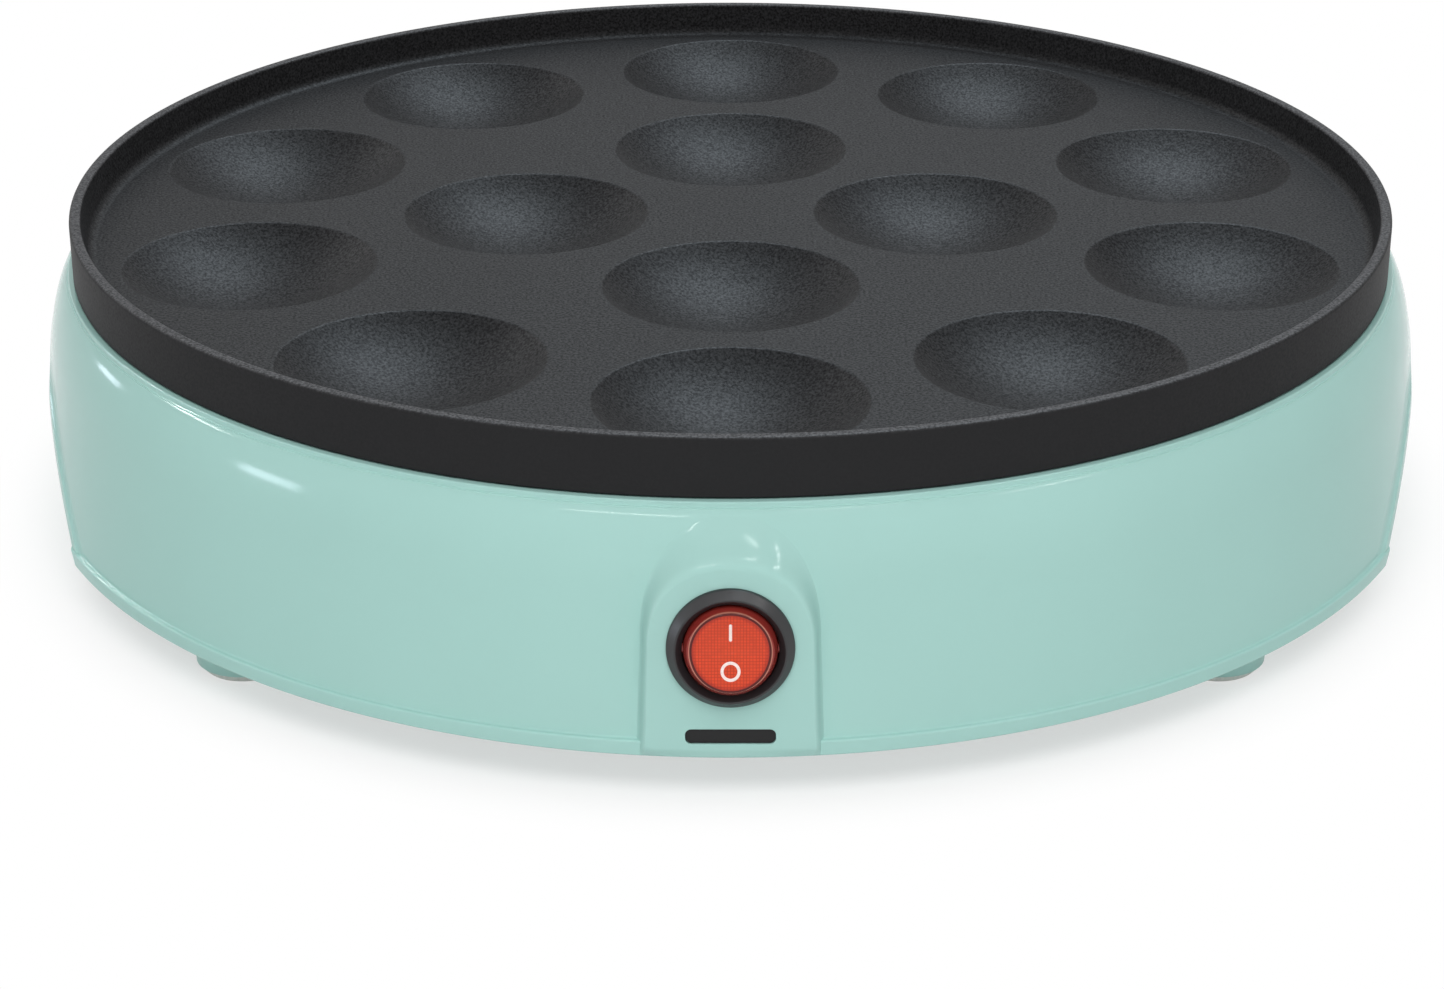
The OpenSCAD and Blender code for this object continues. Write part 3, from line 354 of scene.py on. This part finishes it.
def softInsulator(name, colour, roughness, grainMm, relief, ior=1.5):
    # ceramic, rubber, wire covering or print: dull, with a fine tooth and a little mottling, drawn coarser
    # than real; the hidden lamp's glass is one too, as a plain solid
    material, tree = startMaterial(name)
    where = addNode(tree, "ShaderNodeTexCoord").outputs["Object"]
    grain = addNode(tree, "ShaderNodeTexNoise", {"Vector": where, "Scale": perMm(grainMm), "Detail": 3.0})
    tone = addNode(tree, "ShaderNodeValToRGB", {"Fac": grain.outputs[0]})
    setRamp(tone.color_ramp, [(0.3, tint(colour, 0.9)), (0.7, tint(colour, 1.06))])
    bump = addNode(tree, "ShaderNodeBump", {"Height": grain.outputs[0], "Strength": 0.35,
                                            "Distance": relief * mm})
    shader = addNode(tree, "ShaderNodeBsdfPrincipled", {
        "Base Color": tone.outputs[0], "Roughness": roughness, "Normal": bump.outputs[0], "IOR": ior})
    addNode(tree, "ShaderNodeOutputMaterial", {"Surface": shader.outputs[0]})
    return material


# moulded shell: turned wall, two arch panels, two finger grips

arch = dict(foot=14.0, half=13.5, spring=20.2, rise=33.6, outerFoot=15.8, outerHalf=14.95, outerRise=41.6,
            bend=2.3, rings=16, footRows=(0.0, 0.1, 0.25, 0.4, 0.65, 0.95, 1.3, 1.7, 2.1), proud=0.05,
            sideRows=18, topRows=36, footColumns=40, sunk=0.06,
            faceSoft=0.45, faceLess=0.2, wallSoft=0.35, wallMore=0.3)  # share of the slope that is rounded
behind = dict(side=2, low=1.3, top=4, leastY=100, r=134.0, lean=0.05)  # wall left out behind the panels
grip = dict(below=4, edgeSlack=0.02, wallSlack=0.2, sillRise=8.0)  # search depth, slack at the cut, sill
# raised edge of the grip: its section, and the height over which it dies out
border = dict(width=1.4, out=0.6, flat=0.12, steps=160, below=1.5, fadeFrom=28, fadeOver=5, soft=0.28,
              softShare=0.6, sunk=0.04, tail=((0.5, 0.34), (1.1, 0.1)), reach=1.9, probe=0.1, foot=0.4)
slot = dict(width=15.0, height=2.7, corner=1.0, up=4.2)
gland = dict(up=19.0, holeR=5.7, columns=48)


def archOutline(foot, half, rise):  # from the right foot over the top to the left foot
    spring, bow = arch["spring"], 2 / arch["bend"]
    ups = list(arch["footRows"])
    ups += [ups[-1] + (spring - ups[-1]) * i / arch["sideRows"] for i in range(1, arch["sideRows"])]
    right = [(foot + (half - foot) * up / spring, up) for up in ups]
    turns = [math.pi / 2 * i / arch["topRows"] for i in range(arch["topRows"])]
    right += [(half * math.cos(a) ** bow, spring + (rise - spring) * math.sin(a) ** bow) for a in turns]
    return right + [(0.0, rise)] + [(-x, up) for x, up in reversed(right)]


def behindPanel(x, up, radiusAt):  # how far a turned surface lies behind the panel's plane there
    out = 0.0
    for again in range(3):
        z = zBase + up * leanCos + out * leanSin
        y = -math.sqrt(radiusAt(z) ** 2 - x * x)
        out = (-panelY + up * leanSin - y) / leanCos
    return out


def flangeRadius(z):
    return flangeR - max(0, shell["flangeEdge"] - (z - zBase))


def panelSurface(x, up, t, top):
    # t goes from the flat face to the wall, top from the sides to the arch's crown
    soft = arch["faceSoft"] - arch["faceLess"] * top
    wide = arch["wallSoft"] + arch["wallMore"] * top
    steep = 1 / (1 - soft / 2 - wide / 2)
    if t < soft:
        fall = steep * t * t / (2 * soft)
    elif t < 1 - wide:
        fall = steep * (t - soft / 2)
    else:
        fall = 1 - steep * (1 - t) ** 2 / (2 * wide)
    out = behindPanel(x, up, wallRadius) * fall - arch["sunk"] * t
    held = 1 - ease(up / arch["footRows"][-1])  # the foot runs out on the flange
    if held > 0:
        out += (behindPanel(x, up, flangeRadius) + arch["proud"] * (1 - 2 * t) - out) * held
    return out


def softRect(w, h, r, up, steps=6):  # rounded rectangle as points on the panel
    points = []
    for sx, sy, start in ((1, 1, 0), (-1, 1, 90), (-1, -1, 180), (1, -1, 270)):
        points += arc(sx * (w / 2 - r), up + sy * (h / 2 - r), r, start, start + 90, steps)
    return points


def addPanel(mesh, back, holes):
    inner = archOutline(arch["foot"], arch["half"], arch["rise"])
    outer = archOutline(arch["outerFoot"], arch["outerHalf"], arch["outerRise"])
    count, rows = len(inner), len(arch["footRows"])
    rings = []
    for k in range(arch["rings"] + 1):
        t = k / arch["rings"]
        ring = []
        for (ax, au), (bx, bu) in zip(inner, outer):
            x, up = ax + (bx - ax) * t, au + (bu - au) * t
            top = max(0, (au - arch["spring"]) / (arch["rise"] - arch["spring"]))
            ring.append(mesh.verts.new(onPanel(x, up, panelSurface(x, up, t, top), back)))
        rings.append(ring)
    joinRings(mesh, rings, closed=False)
    # foot of the face, row by row
    face, foot = rings[0], []
    for j in range(rows):
        width, up = inner[j]
        line = [-width + 2 * width * c / arch["footColumns"] for c in range(1, arch["footColumns"])]
        middle = [mesh.verts.new(onPanel(x, up, panelSurface(x, up, 0, 0), back)) for x in line]
        foot.append([face[count - 1 - j]] + middle + [face[j]])
    joinRings(mesh, foot, closed=False)
    # flat face with its holes, and the holes' walls
    loops = [face[rows - 1:count - rows + 1] + foot[-1][1:-1]]
    for points in holes:
        front = [mesh.verts.new(onPanel(x, up, 0, back)) for x, up in points]
        rear = [mesh.verts.new(onPanel(x, up, -shell["wall"], back)) for x, up in points]
        joinRings(mesh, [front, rear])
        loops.append(front)
    edges = []
    for loop in loops:
        for a, b in zip(loop, loop[1:] + loop[:1]):
            edges.append(mesh.edges.get((a, b)) or mesh.edges.new((a, b)))
    bmesh.ops.triangle_fill(mesh, edges=edges, use_beauty=True)


def gripPlane(side):
    return Vector((side * math.cos(gripTilt), 0, -math.sin(gripTilt)))


def gripEdge(side, y):  # point where the grip's face meets the plain wall
    low, high = zBase - grip["below"], zLip
    for again in range(halvings):
        z = (low + high) / 2
        x = shell["gripX"] + (z - zBase) * math.tan(gripTilt)
        if x * x + y * y < wallRadius(z) ** 2:
            low = z
        else:
            high = z
    return Vector((side * x, y, z))


def cutGrip(mesh, side):  # cuts the wall and closes it with the grip's flat face and its sill
    geometry = mesh.verts[:] + mesh.edges[:] + mesh.faces[:]
    cut = bmesh.ops.bisect_plane(mesh, geom=geometry, plane_co=inFrame(side * shell["gripX"], 0, zBase),
                                 plane_no=gripPlane(side), clear_outer=True, dist=cutSlack)["geom_cut"]
    outside = []
    for v in cut:
        if isinstance(v, bmesh.types.BMVert):
            r, z = math.hypot(v.co.x, v.co.y) / mm, v.co.z / mm
            least = wallRadius(z) - grip["wallSlack"]
            if z < zBase + shell["flangeEdge"]:
                least = flangeR - shell["flangeEdge"] - grip["edgeSlack"]
            if r > least and z < zShoulder:
                outside.append(v)
    outside.sort(key=lambda v: v.co.y)
    mesh.faces.new(outside)
    ends, sill = (outside[0], outside[-1]), []
    for rise in (0.0, grip["sillRise"]):
        x = shell["gripX"] - shell["wall"] + rise * math.tan(gripTilt)
        reach = math.sqrt((wallRadius(zBase + rise) - shell["wall"]) ** 2 - x * x)  # stays behind the wall
        sill.append([mesh.verts.new(inFrame(side * x, y, zBase + rise)) for y in (-reach, reach)])
    mesh.faces.new((ends[0], ends[1], sill[0][1], sill[0][0]))
    mesh.faces.new((sill[0][0], sill[0][1], sill[1][1], sill[1][0]))


def addBorder(mesh, side):  # raised edge along the grip, dying out towards its top
    zFoot, last, probe = zBase - border["below"], border["steps"], border["probe"]
    half = math.sqrt(wallRadius(zFoot) ** 2 - (shell["gripX"] + (zFoot - zBase) * math.tan(gripTilt)) ** 2)
    line = [gripEdge(side, -half + 2 * half * i / last) for i in range(last + 1)]
    faceNormal, rings = gripPlane(side), []
    for i, point in enumerate(line):
        along = (line[min(i + 1, last)] - line[max(i - 1, 0)]).normalized()
        slope = math.atan((wallRadius(point.z - probe) - wallRadius(point.z + probe)) / (2 * probe))
        outward = Vector((point.x, point.y, 0)).normalized() * math.cos(slope)
        outward += Vector((0, 0, math.sin(slope)))
        upFace = along.cross(faceNormal).normalized()
        upFace *= 1 if upFace.dot(outward) > 0 else -1
        inward = along.cross(outward).normalized()
        inward *= 1 if inward.dot(faceNormal) < 0 else -1
        fade = ease((point.z - border["fadeFrom"]) / border["fadeOver"])
        raised = border["out"] + (border["flat"] - border["out"]) * fade
        soft, w = min(border["soft"], raised * border["softShare"]), border["width"]
        section = [(0.0, -border["sunk"]), (0.0, 0.0)] + arc(soft, raised - soft, soft, 180, 90, 4)
        section += arc(w - soft, raised - soft, soft, 90, 50, 3)
        section += [(w + a, share * raised) for a, share in border["tail"]]
        section += [(w + border["reach"], -border["sunk"])]
        lift, reach = 1 / upFace.dot(outward), 1 / -inward.dot(faceNormal)
        ring = []
        for a, b in section:
            foot = point + inward * (a * reach)
            flat = Vector((foot.x, foot.y, 0))
            foot += flat.normalized() * (wallRadius(foot.z) - flat.length)  # follows the curved wall
            ring.append(mesh.verts.new((foot + upFace * (b * lift)) * mm))
        rings.append(ring)
    joinRings(mesh, rings, closed=False)
    # its foot ends inside the flange
    points = [v for ring in rings for v in ring]
    lines = {e for v in points for e in v.link_edges}
    faces = {f for v in points for f in v.link_faces}
    bmesh.ops.bisect_plane(mesh, geom=points + list(lines) + list(faces), plane_no=(0, 0, -1),
                           plane_co=inFrame(0, 0, zFlange - border["foot"]), clear_outer=True, dist=cutSlack)


mesh = bmesh.new()
lip, edge = shell["lipR"], shell["lipEdge"]
profile = [(shell["insideR"], zLip - shell["insideH"]), (shell["insideR"], zLip), (lip - edge, zLip)]
profile += arc(lip - edge, zLip - edge, edge, 80, 0, 5)
profile += [(lip + out, zShoulder + up) for out, up in shell["groove"]]
rows = shell["crownRows"]
crown = [startTurn * shell["crownStart"] * (1 - i / rows) for i in range(rows + 1)]
heights = [zShoulder - shell["shoulderH"] * (math.sin(startTurn) - math.sin(t)) for t in crown]
fillet, edge, rows = shell["fillet"], shell["flangeEdge"], shell["wallRows"]
heights += [heights[-1] + (zFlange + fillet - heights[-1]) * i / rows for i in range(1, rows + 1)]
profile += [(wallRadius(z), z) for z in heights]
profile += arc(wallRadius(zFlange) + fillet, zFlange + fillet, fillet, 205, 270, 3)
profile += arc(flangeR - edge, zFlange - edge, edge, 90, 0, 5)
profile += [(flangeR, zBase + shell["flangeRow"])] + arc(flangeR - edge, zBase + edge, edge, 0, -90, 5)
profile += [(r, zBase + up) for r, up in shell["inside"]]
revolve(mesh, profile, shell["columns"], inFrame)
# the wall stays open behind the panels
hidden = []
for part in mesh.faces:
    c = part.calc_center_median() / mm
    up, r = c.z - zBase, math.hypot(c.x, c.y)
    inArch = abs(c.x) < arch["half"] - behind["side"] and behind["low"] < up < arch["rise"] - behind["top"]
    if inArch and abs(c.y) > behind["leastY"] and r > behind["r"] - up * behind["lean"]:
        hidden.append(part)
bmesh.ops.delete(mesh, geom=hidden, context="FACES")
for side in (1, -1):
    cutGrip(mesh, side)
    addBorder(mesh, side)
switchHole = circle(switch["barrelR"] + switch["holeGap"], 72, switch["up"])
addPanel(mesh, False, [switchHole, softRect(slot["width"], slot["height"], slot["corner"], slot["up"])])
addPanel(mesh, True, [circle(gland["holeR"], gland["columns"], gland["up"])])
shellPiece = makePiece("mouldedShell", mesh, mintGloss, "housing", "body_shell", sharp=24)
print("shell made:", len(shellPiece.data.vertices), "points")


# baking plate: rim, tray and fourteen wells with soft edges

mesh = bmesh.new()
zRim, plateR, edge = plate["zRim"], plate["r"], plate["rimEdge"]
zFloor, zBand = zRim - plate["trayD"], zLip + plate["bandGap"]
zUnder = zFloor - plate["thick"]
low, inner, columns = plate["bandEdge"], plate["rimInside"], plate["columns"]
profile = [(plate["footR"], zUnder), (plate["footR"], zBand), (plateR - low, zBand)]
profile += arc(plateR - low, zBand + low, low, -60, 0, 3)
profile += [(plateR, zBand + plate["bandRow"])] + arc(plateR - edge, zRim - edge, edge, 0, 90, 5)
profile += arc(plateR - plate["rimW"] + inner, zRim - inner, inner, 90, 173, 4)
profile += arc(plate["trayR"] - plate["fillet"], zFloor + plate["fillet"], plate["fillet"], -5, -90, 7)
rings = revolve(mesh, profile, columns, inFrame)
centres = circle(plate["trayR"] - plate["margin"] - plate["wellR"], plate["outerCount"])
centres = [(y, -x) for x, y in centres]  # the first well lies at the front
centres += [(y, -x) for x, y in circle(plate["innerR"], plate["innerCount"])]
ball = (plate["wellR"] ** 2 + plate["wellD"] ** 2) / (2 * plate["wellD"])
zBall = zFloor - plate["wellD"] + ball
# a small circle that touches floor and ball rounds each well's edge
soft = plate["wellSoft"]
edgeR = math.sqrt((ball + soft) ** 2 - (zBall - zFloor + soft) ** 2)
touch = math.degrees(math.atan2(zBall - zFloor + soft, -edgeR))
wellProfile = arc(edgeR, zFloor - soft, soft, 90, touch, 6)
sink = math.degrees(math.asin(wellProfile[-1][0] / ball))
wellProfile += arc(0, zBall, ball, sink - 90, -90, 14)[1:]
outside = ball + plate["thick"]
low = math.degrees(math.acos((zBall - zUnder) / outside))
domeProfile = arc(0, zBall, outside, low - 90, -90, 8)
floorDish = (rings[-1], wellProfile, plate["wellColumns"])
underDish = (rings[0], domeProfile, plate["domeColumns"])
for ring, dish, count in (floorDish, underDish):
    edges = [mesh.edges.get((ring[k], ring[(k + 1) % columns])) for k in range(columns)]
    for cx, cy in centres:
        first = revolve(mesh, dish, count, lambda x, y, z: inFrame(cx + x, cy + y, z))[0]
        edges += [mesh.edges.get((first[k], first[(k + 1) % count])) for k in range(count)]
    bmesh.ops.triangle_fill(mesh, edges=edges, use_beauty=True)
platePiece = makePiece("bakingPlate", mesh, plateCoating, "housing", "baking_plate", sharp=50)
print("plate made:", len(platePiece.data.vertices), "points")


# rocker switch: bevelled bezel, clear red rocker, two marks

redLens = clearRed("tinted polycarbonate, moulded clear")
markInk = softInsulator("white ink, pad printed", "#FBE6E0", 0.5, 0.3, 0.005)

mesh = bmesh.new()
crest, top = switch["crestR"], switch["bezelT"]
bezel = [(0.0, switch["floor"]), (switch["cavityR"], switch["floor"])]
bezel += [(switch["cavityR"] + out, up) for out, up in switch["mouth"]]
bezel += arc(crest, top - switch["crestEdge"], switch["crestEdge"], 125, 45, 5)
bezel += [(switch["bezelR"] - back, up) for back, up in switch["skirt"]]
bezel += [(switch["barrelR"], 0.0), (switch["barrelR"], -switch["barrelL"]), (0.0, -switch["barrelL"])]
revolve(mesh, bezel, switch["columns"], atSwitch)
makePiece("switchBezel", mesh, blackNylon, "housing", "switch_housing", sharp=30)


def faceHeight(y):  # two flats that meet in a softened valley
    rise = math.sqrt(y * y + switch["valleySoft"]) - switch["valleyShare"] * math.sqrt(switch["valleySoft"])
    return switch["valley"] + math.tan(math.radians(switch["flats"])) * rise


def faceRim(a):  # how far out the face meets the rocker's ball
    low, high = 0.0, switch["rockerR"]
    for again in range(halvings):
        r = (low + high) / 2
        if r * r + faceHeight(r * math.sin(a)) ** 2 < switch["rockerR"] ** 2:
            low = r
        else:
            high = r
    return low


# shares of the face's reach with the drop there, then levels down the ball's side; sizes in mm
rocker = dict(face=(0.12, 0.25, 0.38, 0.5, 0.62, 0.74, 0.84, 0.9, 0.94),
              edge=((0.965, 0.03), (0.982, 0.11), (0.994, 0.24), (1.0, 0.42)),
              side=(0.75, 0.5, 0.25, 0.0, -0.5, -1.0), depth=3.8,
              trunnion=((0.9, 6.5), (0.9, 8.7), (0.75, 8.95), (0.0, 8.95)), trunnionColumns=24,
              guide=((2.2, -3.0), (2.2, -6.0), (2.0, -6.2), (1.15, -6.2), (1.15, -4.0)), guideColumns=32)
edgeDrop = rocker["edge"][-1][1]
mesh = bmesh.new()
count = switch["columns"]
turns = [2 * math.pi * k / count for k in range(count)]
rim = [faceRim(a) for a in turns]
rings = [[mesh.verts.new(atRocker(0, 0, faceHeight(0)))] * count]
faceShares = [(share, 0.0) for share in rocker["face"]]
for share, drop in faceShares + list(rocker["edge"]):
    ring = []
    for a, r in zip(turns, rim):
        x, y = r * share * math.cos(a), r * share * math.sin(a)
        ring.append(mesh.verts.new(atRocker(x, y, faceHeight(y) - drop)))
    rings.append(ring)
for level in rocker["side"]:
    ring = []
    for a, r in zip(turns, rim):
        top = faceHeight(r * math.sin(a)) - edgeDrop
        z = top * level if level >= 0 else rocker["depth"] * level
        r = math.sqrt(switch["rockerR"] ** 2 - z * z)
        ring.append(mesh.verts.new(atRocker(r * math.cos(a), r * math.sin(a), z)))
    rings.append(ring)
joinRings(mesh, rings)
mesh.faces.new(rings[-1])
for side in (1, -1):
    revolve(mesh, rocker["trunnion"], rocker["trunnionColumns"], lambda x, y, z: atRocker(side * z, x, y))
revolve(mesh, rocker["guide"], rocker["guideColumns"], atRocker)
makePiece("rockerLens", mesh, redLens, "rocker", "rocker", sharp=60)

marks = dict(stroke=0.5, barUp=3.3, barLong=3.0, ringUp=-3.2, ringR=1.63, film=0.03, under=-0.02, columns=40)
mesh = bmesh.new()


def markRing(points, height):
    return [mesh.verts.new(atRocker(x, y, faceHeight(y) + height)) for x, y in points]


half = marks["stroke"] / 2
bar = arc(0, marks["barUp"] + marks["barLong"] / 2 - half, half, 0, 180, 6)
bar += arc(0, marks["barUp"] - marks["barLong"] / 2 + half, half, 180, 360, 6)
barTop = markRing(bar, marks["film"])
joinRings(mesh, [barTop, markRing(bar, marks["under"])])
mesh.faces.new(barTop)
wide = circle(marks["ringR"], marks["columns"], marks["ringUp"])
narrow = circle(marks["ringR"] - marks["stroke"], marks["columns"], marks["ringUp"])
joinRings(mesh, [markRing(wide, marks["under"]), markRing(wide, marks["film"]),
                 markRing(narrow, marks["film"]), markRing(narrow, marks["under"])])
makePiece("rockerMarks", mesh, markInk, "rocker", None, sharp=60, weld=0.001)
print("switch made")


# finishes of the solids that stay as they are

galvanised = metal("galvanised steel, pressed", "#B9BCC0", 0.36, 1.6, 0.03)
platedSteel = metal("zinc-plated steel, turned", "#C2C4C6", 0.28, 0.5)
oxidised = metal("heating tube, oxidised", "#7D7B78", 0.48, 0.8, 0.03)
drawnBrass = metal("brass, drawn", "#C9A24C", 0.27, 0.5)
firedCeramic = softInsulator("steatite ceramic, fired", "#E9E4D8", 0.45, 0.5, 0.02)
padRubber = softInsulator("silicone rubber, moulded", "#D9DCD7", 0.5, 0.6, 0.02, 1.43)
softSleeve = softInsulator("silicone sleeve, moulded", "#D8DBD6", 0.45, 0.5, 0.01, 1.43)
lampGlass = softInsulator("neon lamp glass, drawn", "#F2B48C", 0.12, 1.0, 0.005)
brownCover = softInsulator("PVC wire cover, brown", "#6B3A22", 0.42, 0.5, 0.01)
blackCover = softInsulator("PVC wire cover, black", "#222222", 0.42, 0.5, 0.01)
blueCover = softInsulator("PVC wire cover, blue", "#3D62A8", 0.42, 0.5, 0.01)
greenCover = softInsulator("PVC wire cover, green", "#6E9A3A", 0.42, 0.5, 0.01)
glassBraid = softInsulator("glass braid, woven", "#C8B08A", 0.75, 0.35, 0.06)
finishes = dict(
    bottom_cover=mintSatin, foot_pads=padRubber, cover_screws=platedSteel, plate_screws=platedSteel,
    plate_washers=firedCeramic, heat_shield=galvanised, heating_element=oxidised, heater_sleeves=firedCeramic,
    heater_pins=drawnBrass, thermostat=firedCeramic, thermostat_strap=galvanised, strap_screws=platedSteel,
    thermal_fuse=firedCeramic, fuse_clip=platedSteel, terminal_block=firedCeramic, terminal_screws=drawnBrass,
    earth_screw=drawnBrass, earth_lug=platedSteel, cord_gland=blackNylon, gland_nut=blackNylon,
    switch_blades=drawnBrass, neon_lamp=lampGlass, contact_lever=drawnBrass, plunger=platedSteel,
    # the slot insert carries the painted shade of the vent slot's inside
    plunger_spring=platedSteel, slot_insert=slotShade, spade_sleeves=softSleeve, live_wire=brownCover,
    switched_wire=blackCover, fuse_wire=glassBraid, heater_wire=glassBraid, neutral_wire=blueCover,
    earth_wire=greenCover)
for name, material in finishes.items():
    nodes[name].data.materials.clear()
    nodes[name].data.materials.append(material)
softEdges = dict(slot_insert=0.25, bottom_cover=0.5, cord_gland=0.4)  # edge radius in mm
for name, radius in softEdges.items():
    bevel = nodes[name].modifiers.new("softEdge", "BEVEL")
    bevel.width = radius * mm
    bevel.segments = 3
    bevel.angle_limit = math.radians(50)
print("finishes set:", len(finishes))


# floor, light and camera

studio = dict(floorHalf=3.0, nearR=0.128, farR=0.15, ownShade=0.42, worldLevel=0.39, aim=(0, 0, 0.04),
              fibre=3, paleLow=0.80, paleHigh=0.82)


def seenBy(tree):  # 1 for what the camera, reflections and clear pieces see
    path = addNode(tree, "ShaderNodeLightPath")
    seen = addNode(tree, "ShaderNodeMath", {
        0: path.outputs["Is Camera Ray"], 1: path.outputs["Is Glossy Ray"]}, operation="MAXIMUM")
    seen = addNode(tree, "ShaderNodeMath", {0: seen.outputs[0], 1: path.outputs["Is Transmission Ray"]},
                   operation="MAXIMUM")
    return seen.outputs[0]


floorMaterial, tree = startMaterial("white card, matt")
where = addNode(tree, "ShaderNodeTexCoord").outputs["Object"]
# card fibre, drawn coarser than real
fibre = addNode(tree, "ShaderNodeTexNoise", {"Vector": where, "Scale": perMm(studio["fibre"]), "Detail": 2.0})
pale = addNode(tree, "ShaderNodeMapRange", {"Value": fibre.outputs[0], "To Min": studio["paleLow"],
                                            "To Max": studio["paleHigh"]})
away = addNode(tree, "ShaderNodeVectorMath", {0: where}, operation="LENGTH")
fade = addNode(tree, "ShaderNodeMapRange", {"Value": away.outputs["Value"], "From Min": studio["nearR"],
                                            "From Max": studio["farR"], "To Min": 1 - studio["ownShade"],
                                            "To Max": 1.0}, interpolation_type="SMOOTHSTEP")
card = addNode(tree, "ShaderNodeBsdfDiffuse", {"Color": pale.outputs[0]})
bright = addNode(tree, "ShaderNodeBsdfDiffuse", {"Color": (1, 1, 1, 1)})
white = addNode(tree, "ShaderNodeEmission", {"Color": (1, 1, 1, 1), "Strength": 1.0})
near = addNode(tree, "ShaderNodeMixShader", {0: fade.outputs[0], 1: bright.outputs[0], 2: white.outputs[0]})
whole = addNode(tree, "ShaderNodeMixShader", {0: seenBy(tree), 1: card.outputs[0], 2: near.outputs[0]})
addNode(tree, "ShaderNodeOutputMaterial", {"Surface": whole.outputs[0]})
mesh = bmesh.new()
bmesh.ops.create_grid(mesh, x_segments=8, y_segments=8, size=studio["floorHalf"])
data = bpy.data.meshes.new("studioFloor")
mesh.to_mesh(data)
mesh.free()
data.materials.append(floorMaterial)
floor = bpy.data.objects.new("studioFloor", data)
scene.collection.objects.link(floor)

world = bpy.data.worlds.new("studio")
scene.world = world
world.use_nodes = True
tree = world.node_tree
tree.nodes.clear()
sky = addNode(tree, "ShaderNodeBackground", {"Color": (1, 1, 1, 1), "Strength": studio["worldLevel"]})
plain = addNode(tree, "ShaderNodeBackground", {"Color": (1, 1, 1, 1), "Strength": 1.0})
mixed = addNode(tree, "ShaderNodeMixShader", {0: seenBy(tree), 1: sky.outputs[0], 2: plain.outputs[0]})
addNode(tree, "ShaderNodeOutputWorld", {"Surface": mixed.outputs[0]})


def addSoftbox(name, place, size, level, colour="#FFFFFF", shows="matt"):
    # level is the brightness of its face; shows tells whether it lights the matt colour or only mirrors
    # in the gloss
    data = bpy.data.lights.new(name, "AREA")
    data.shape = "RECTANGLE"
    data.size, data.size_y = size
    data.energy = level * math.pi * size[0] * size[1]
    data.color = tint(colour)[:3]
    lamp = bpy.data.objects.new(name, data)
    lamp.location = place
    lamp.rotation_euler = (Vector(studio["aim"]) - Vector(place)).to_track_quat("-Z", "Y").to_euler()
    lamp.visible_glossy = shows == "gloss"
    lamp.visible_diffuse = shows == "matt"
    scene.collection.objects.link(lamp)


addSoftbox("rearKey", (0.0, 1.35, 0.85), (1.1, 0.5), 7.0, shows="matt")
addSoftbox("rearWindow", (0.22, 0.62, 1.41), (1.0, 0.8), 38.0, "#DEECF6", shows="gloss")
addSoftbox("frontFill", (0.0, -0.9, 1.35), (1.2, 0.7), 4.4, shows="matt")
addSoftbox("lowFront", (0.0, -1.2, 0.035), (1.4, 0.05), 12.0, shows="matt")
addSoftbox("leftWindow", (-1.44, -0.42, 0.10), (0.30, 0.10), 22.0, "#E4EEFF", shows="gloss")
addSoftbox("leftRearWindow", (-1.35, 0.645, 0.13), (0.20, 0.14), 10.0, "#E4EEFF", shows="gloss")
addSoftbox("leftStrip", (-1.12, 0.6, 0.83), (1.1, 0.07), 45.0, shows="gloss")
addSoftbox("frontStrip", (-0.355, -1.092, 1.0), (0.42, 0.05), 32.0, shows="gloss")
addSoftbox("highStrip", (0.33, -0.657, 1.34), (0.30, 0.05), 22.0, shows="gloss")
addSoftbox("rightStrip", (0.918, -0.497, 1.11), (0.40, 0.05), 32.0, shows="gloss")

cameraSet = dict(place=(0.0, -0.614, 0.2707), down=24.264, lens=81.89, shiftX=-0.0059, sensor=36, near=0.01)
data = bpy.data.cameras.new("photoCamera")
data.sensor_fit = "HORIZONTAL"
data.sensor_width = cameraSet["sensor"]
data.lens = cameraSet["lens"]
data.shift_x = cameraSet["shiftX"]
data.clip_start = cameraSet["near"]
camera = bpy.data.objects.new("photoCamera", data)
camera.location = cameraSet["place"]
camera.rotation_euler = (math.radians(90 - cameraSet["down"]), 0, 0)
scene.collection.objects.link(camera)
scene.camera = camera
scene.view_settings.view_transform = "Standard"
print("studio ready")
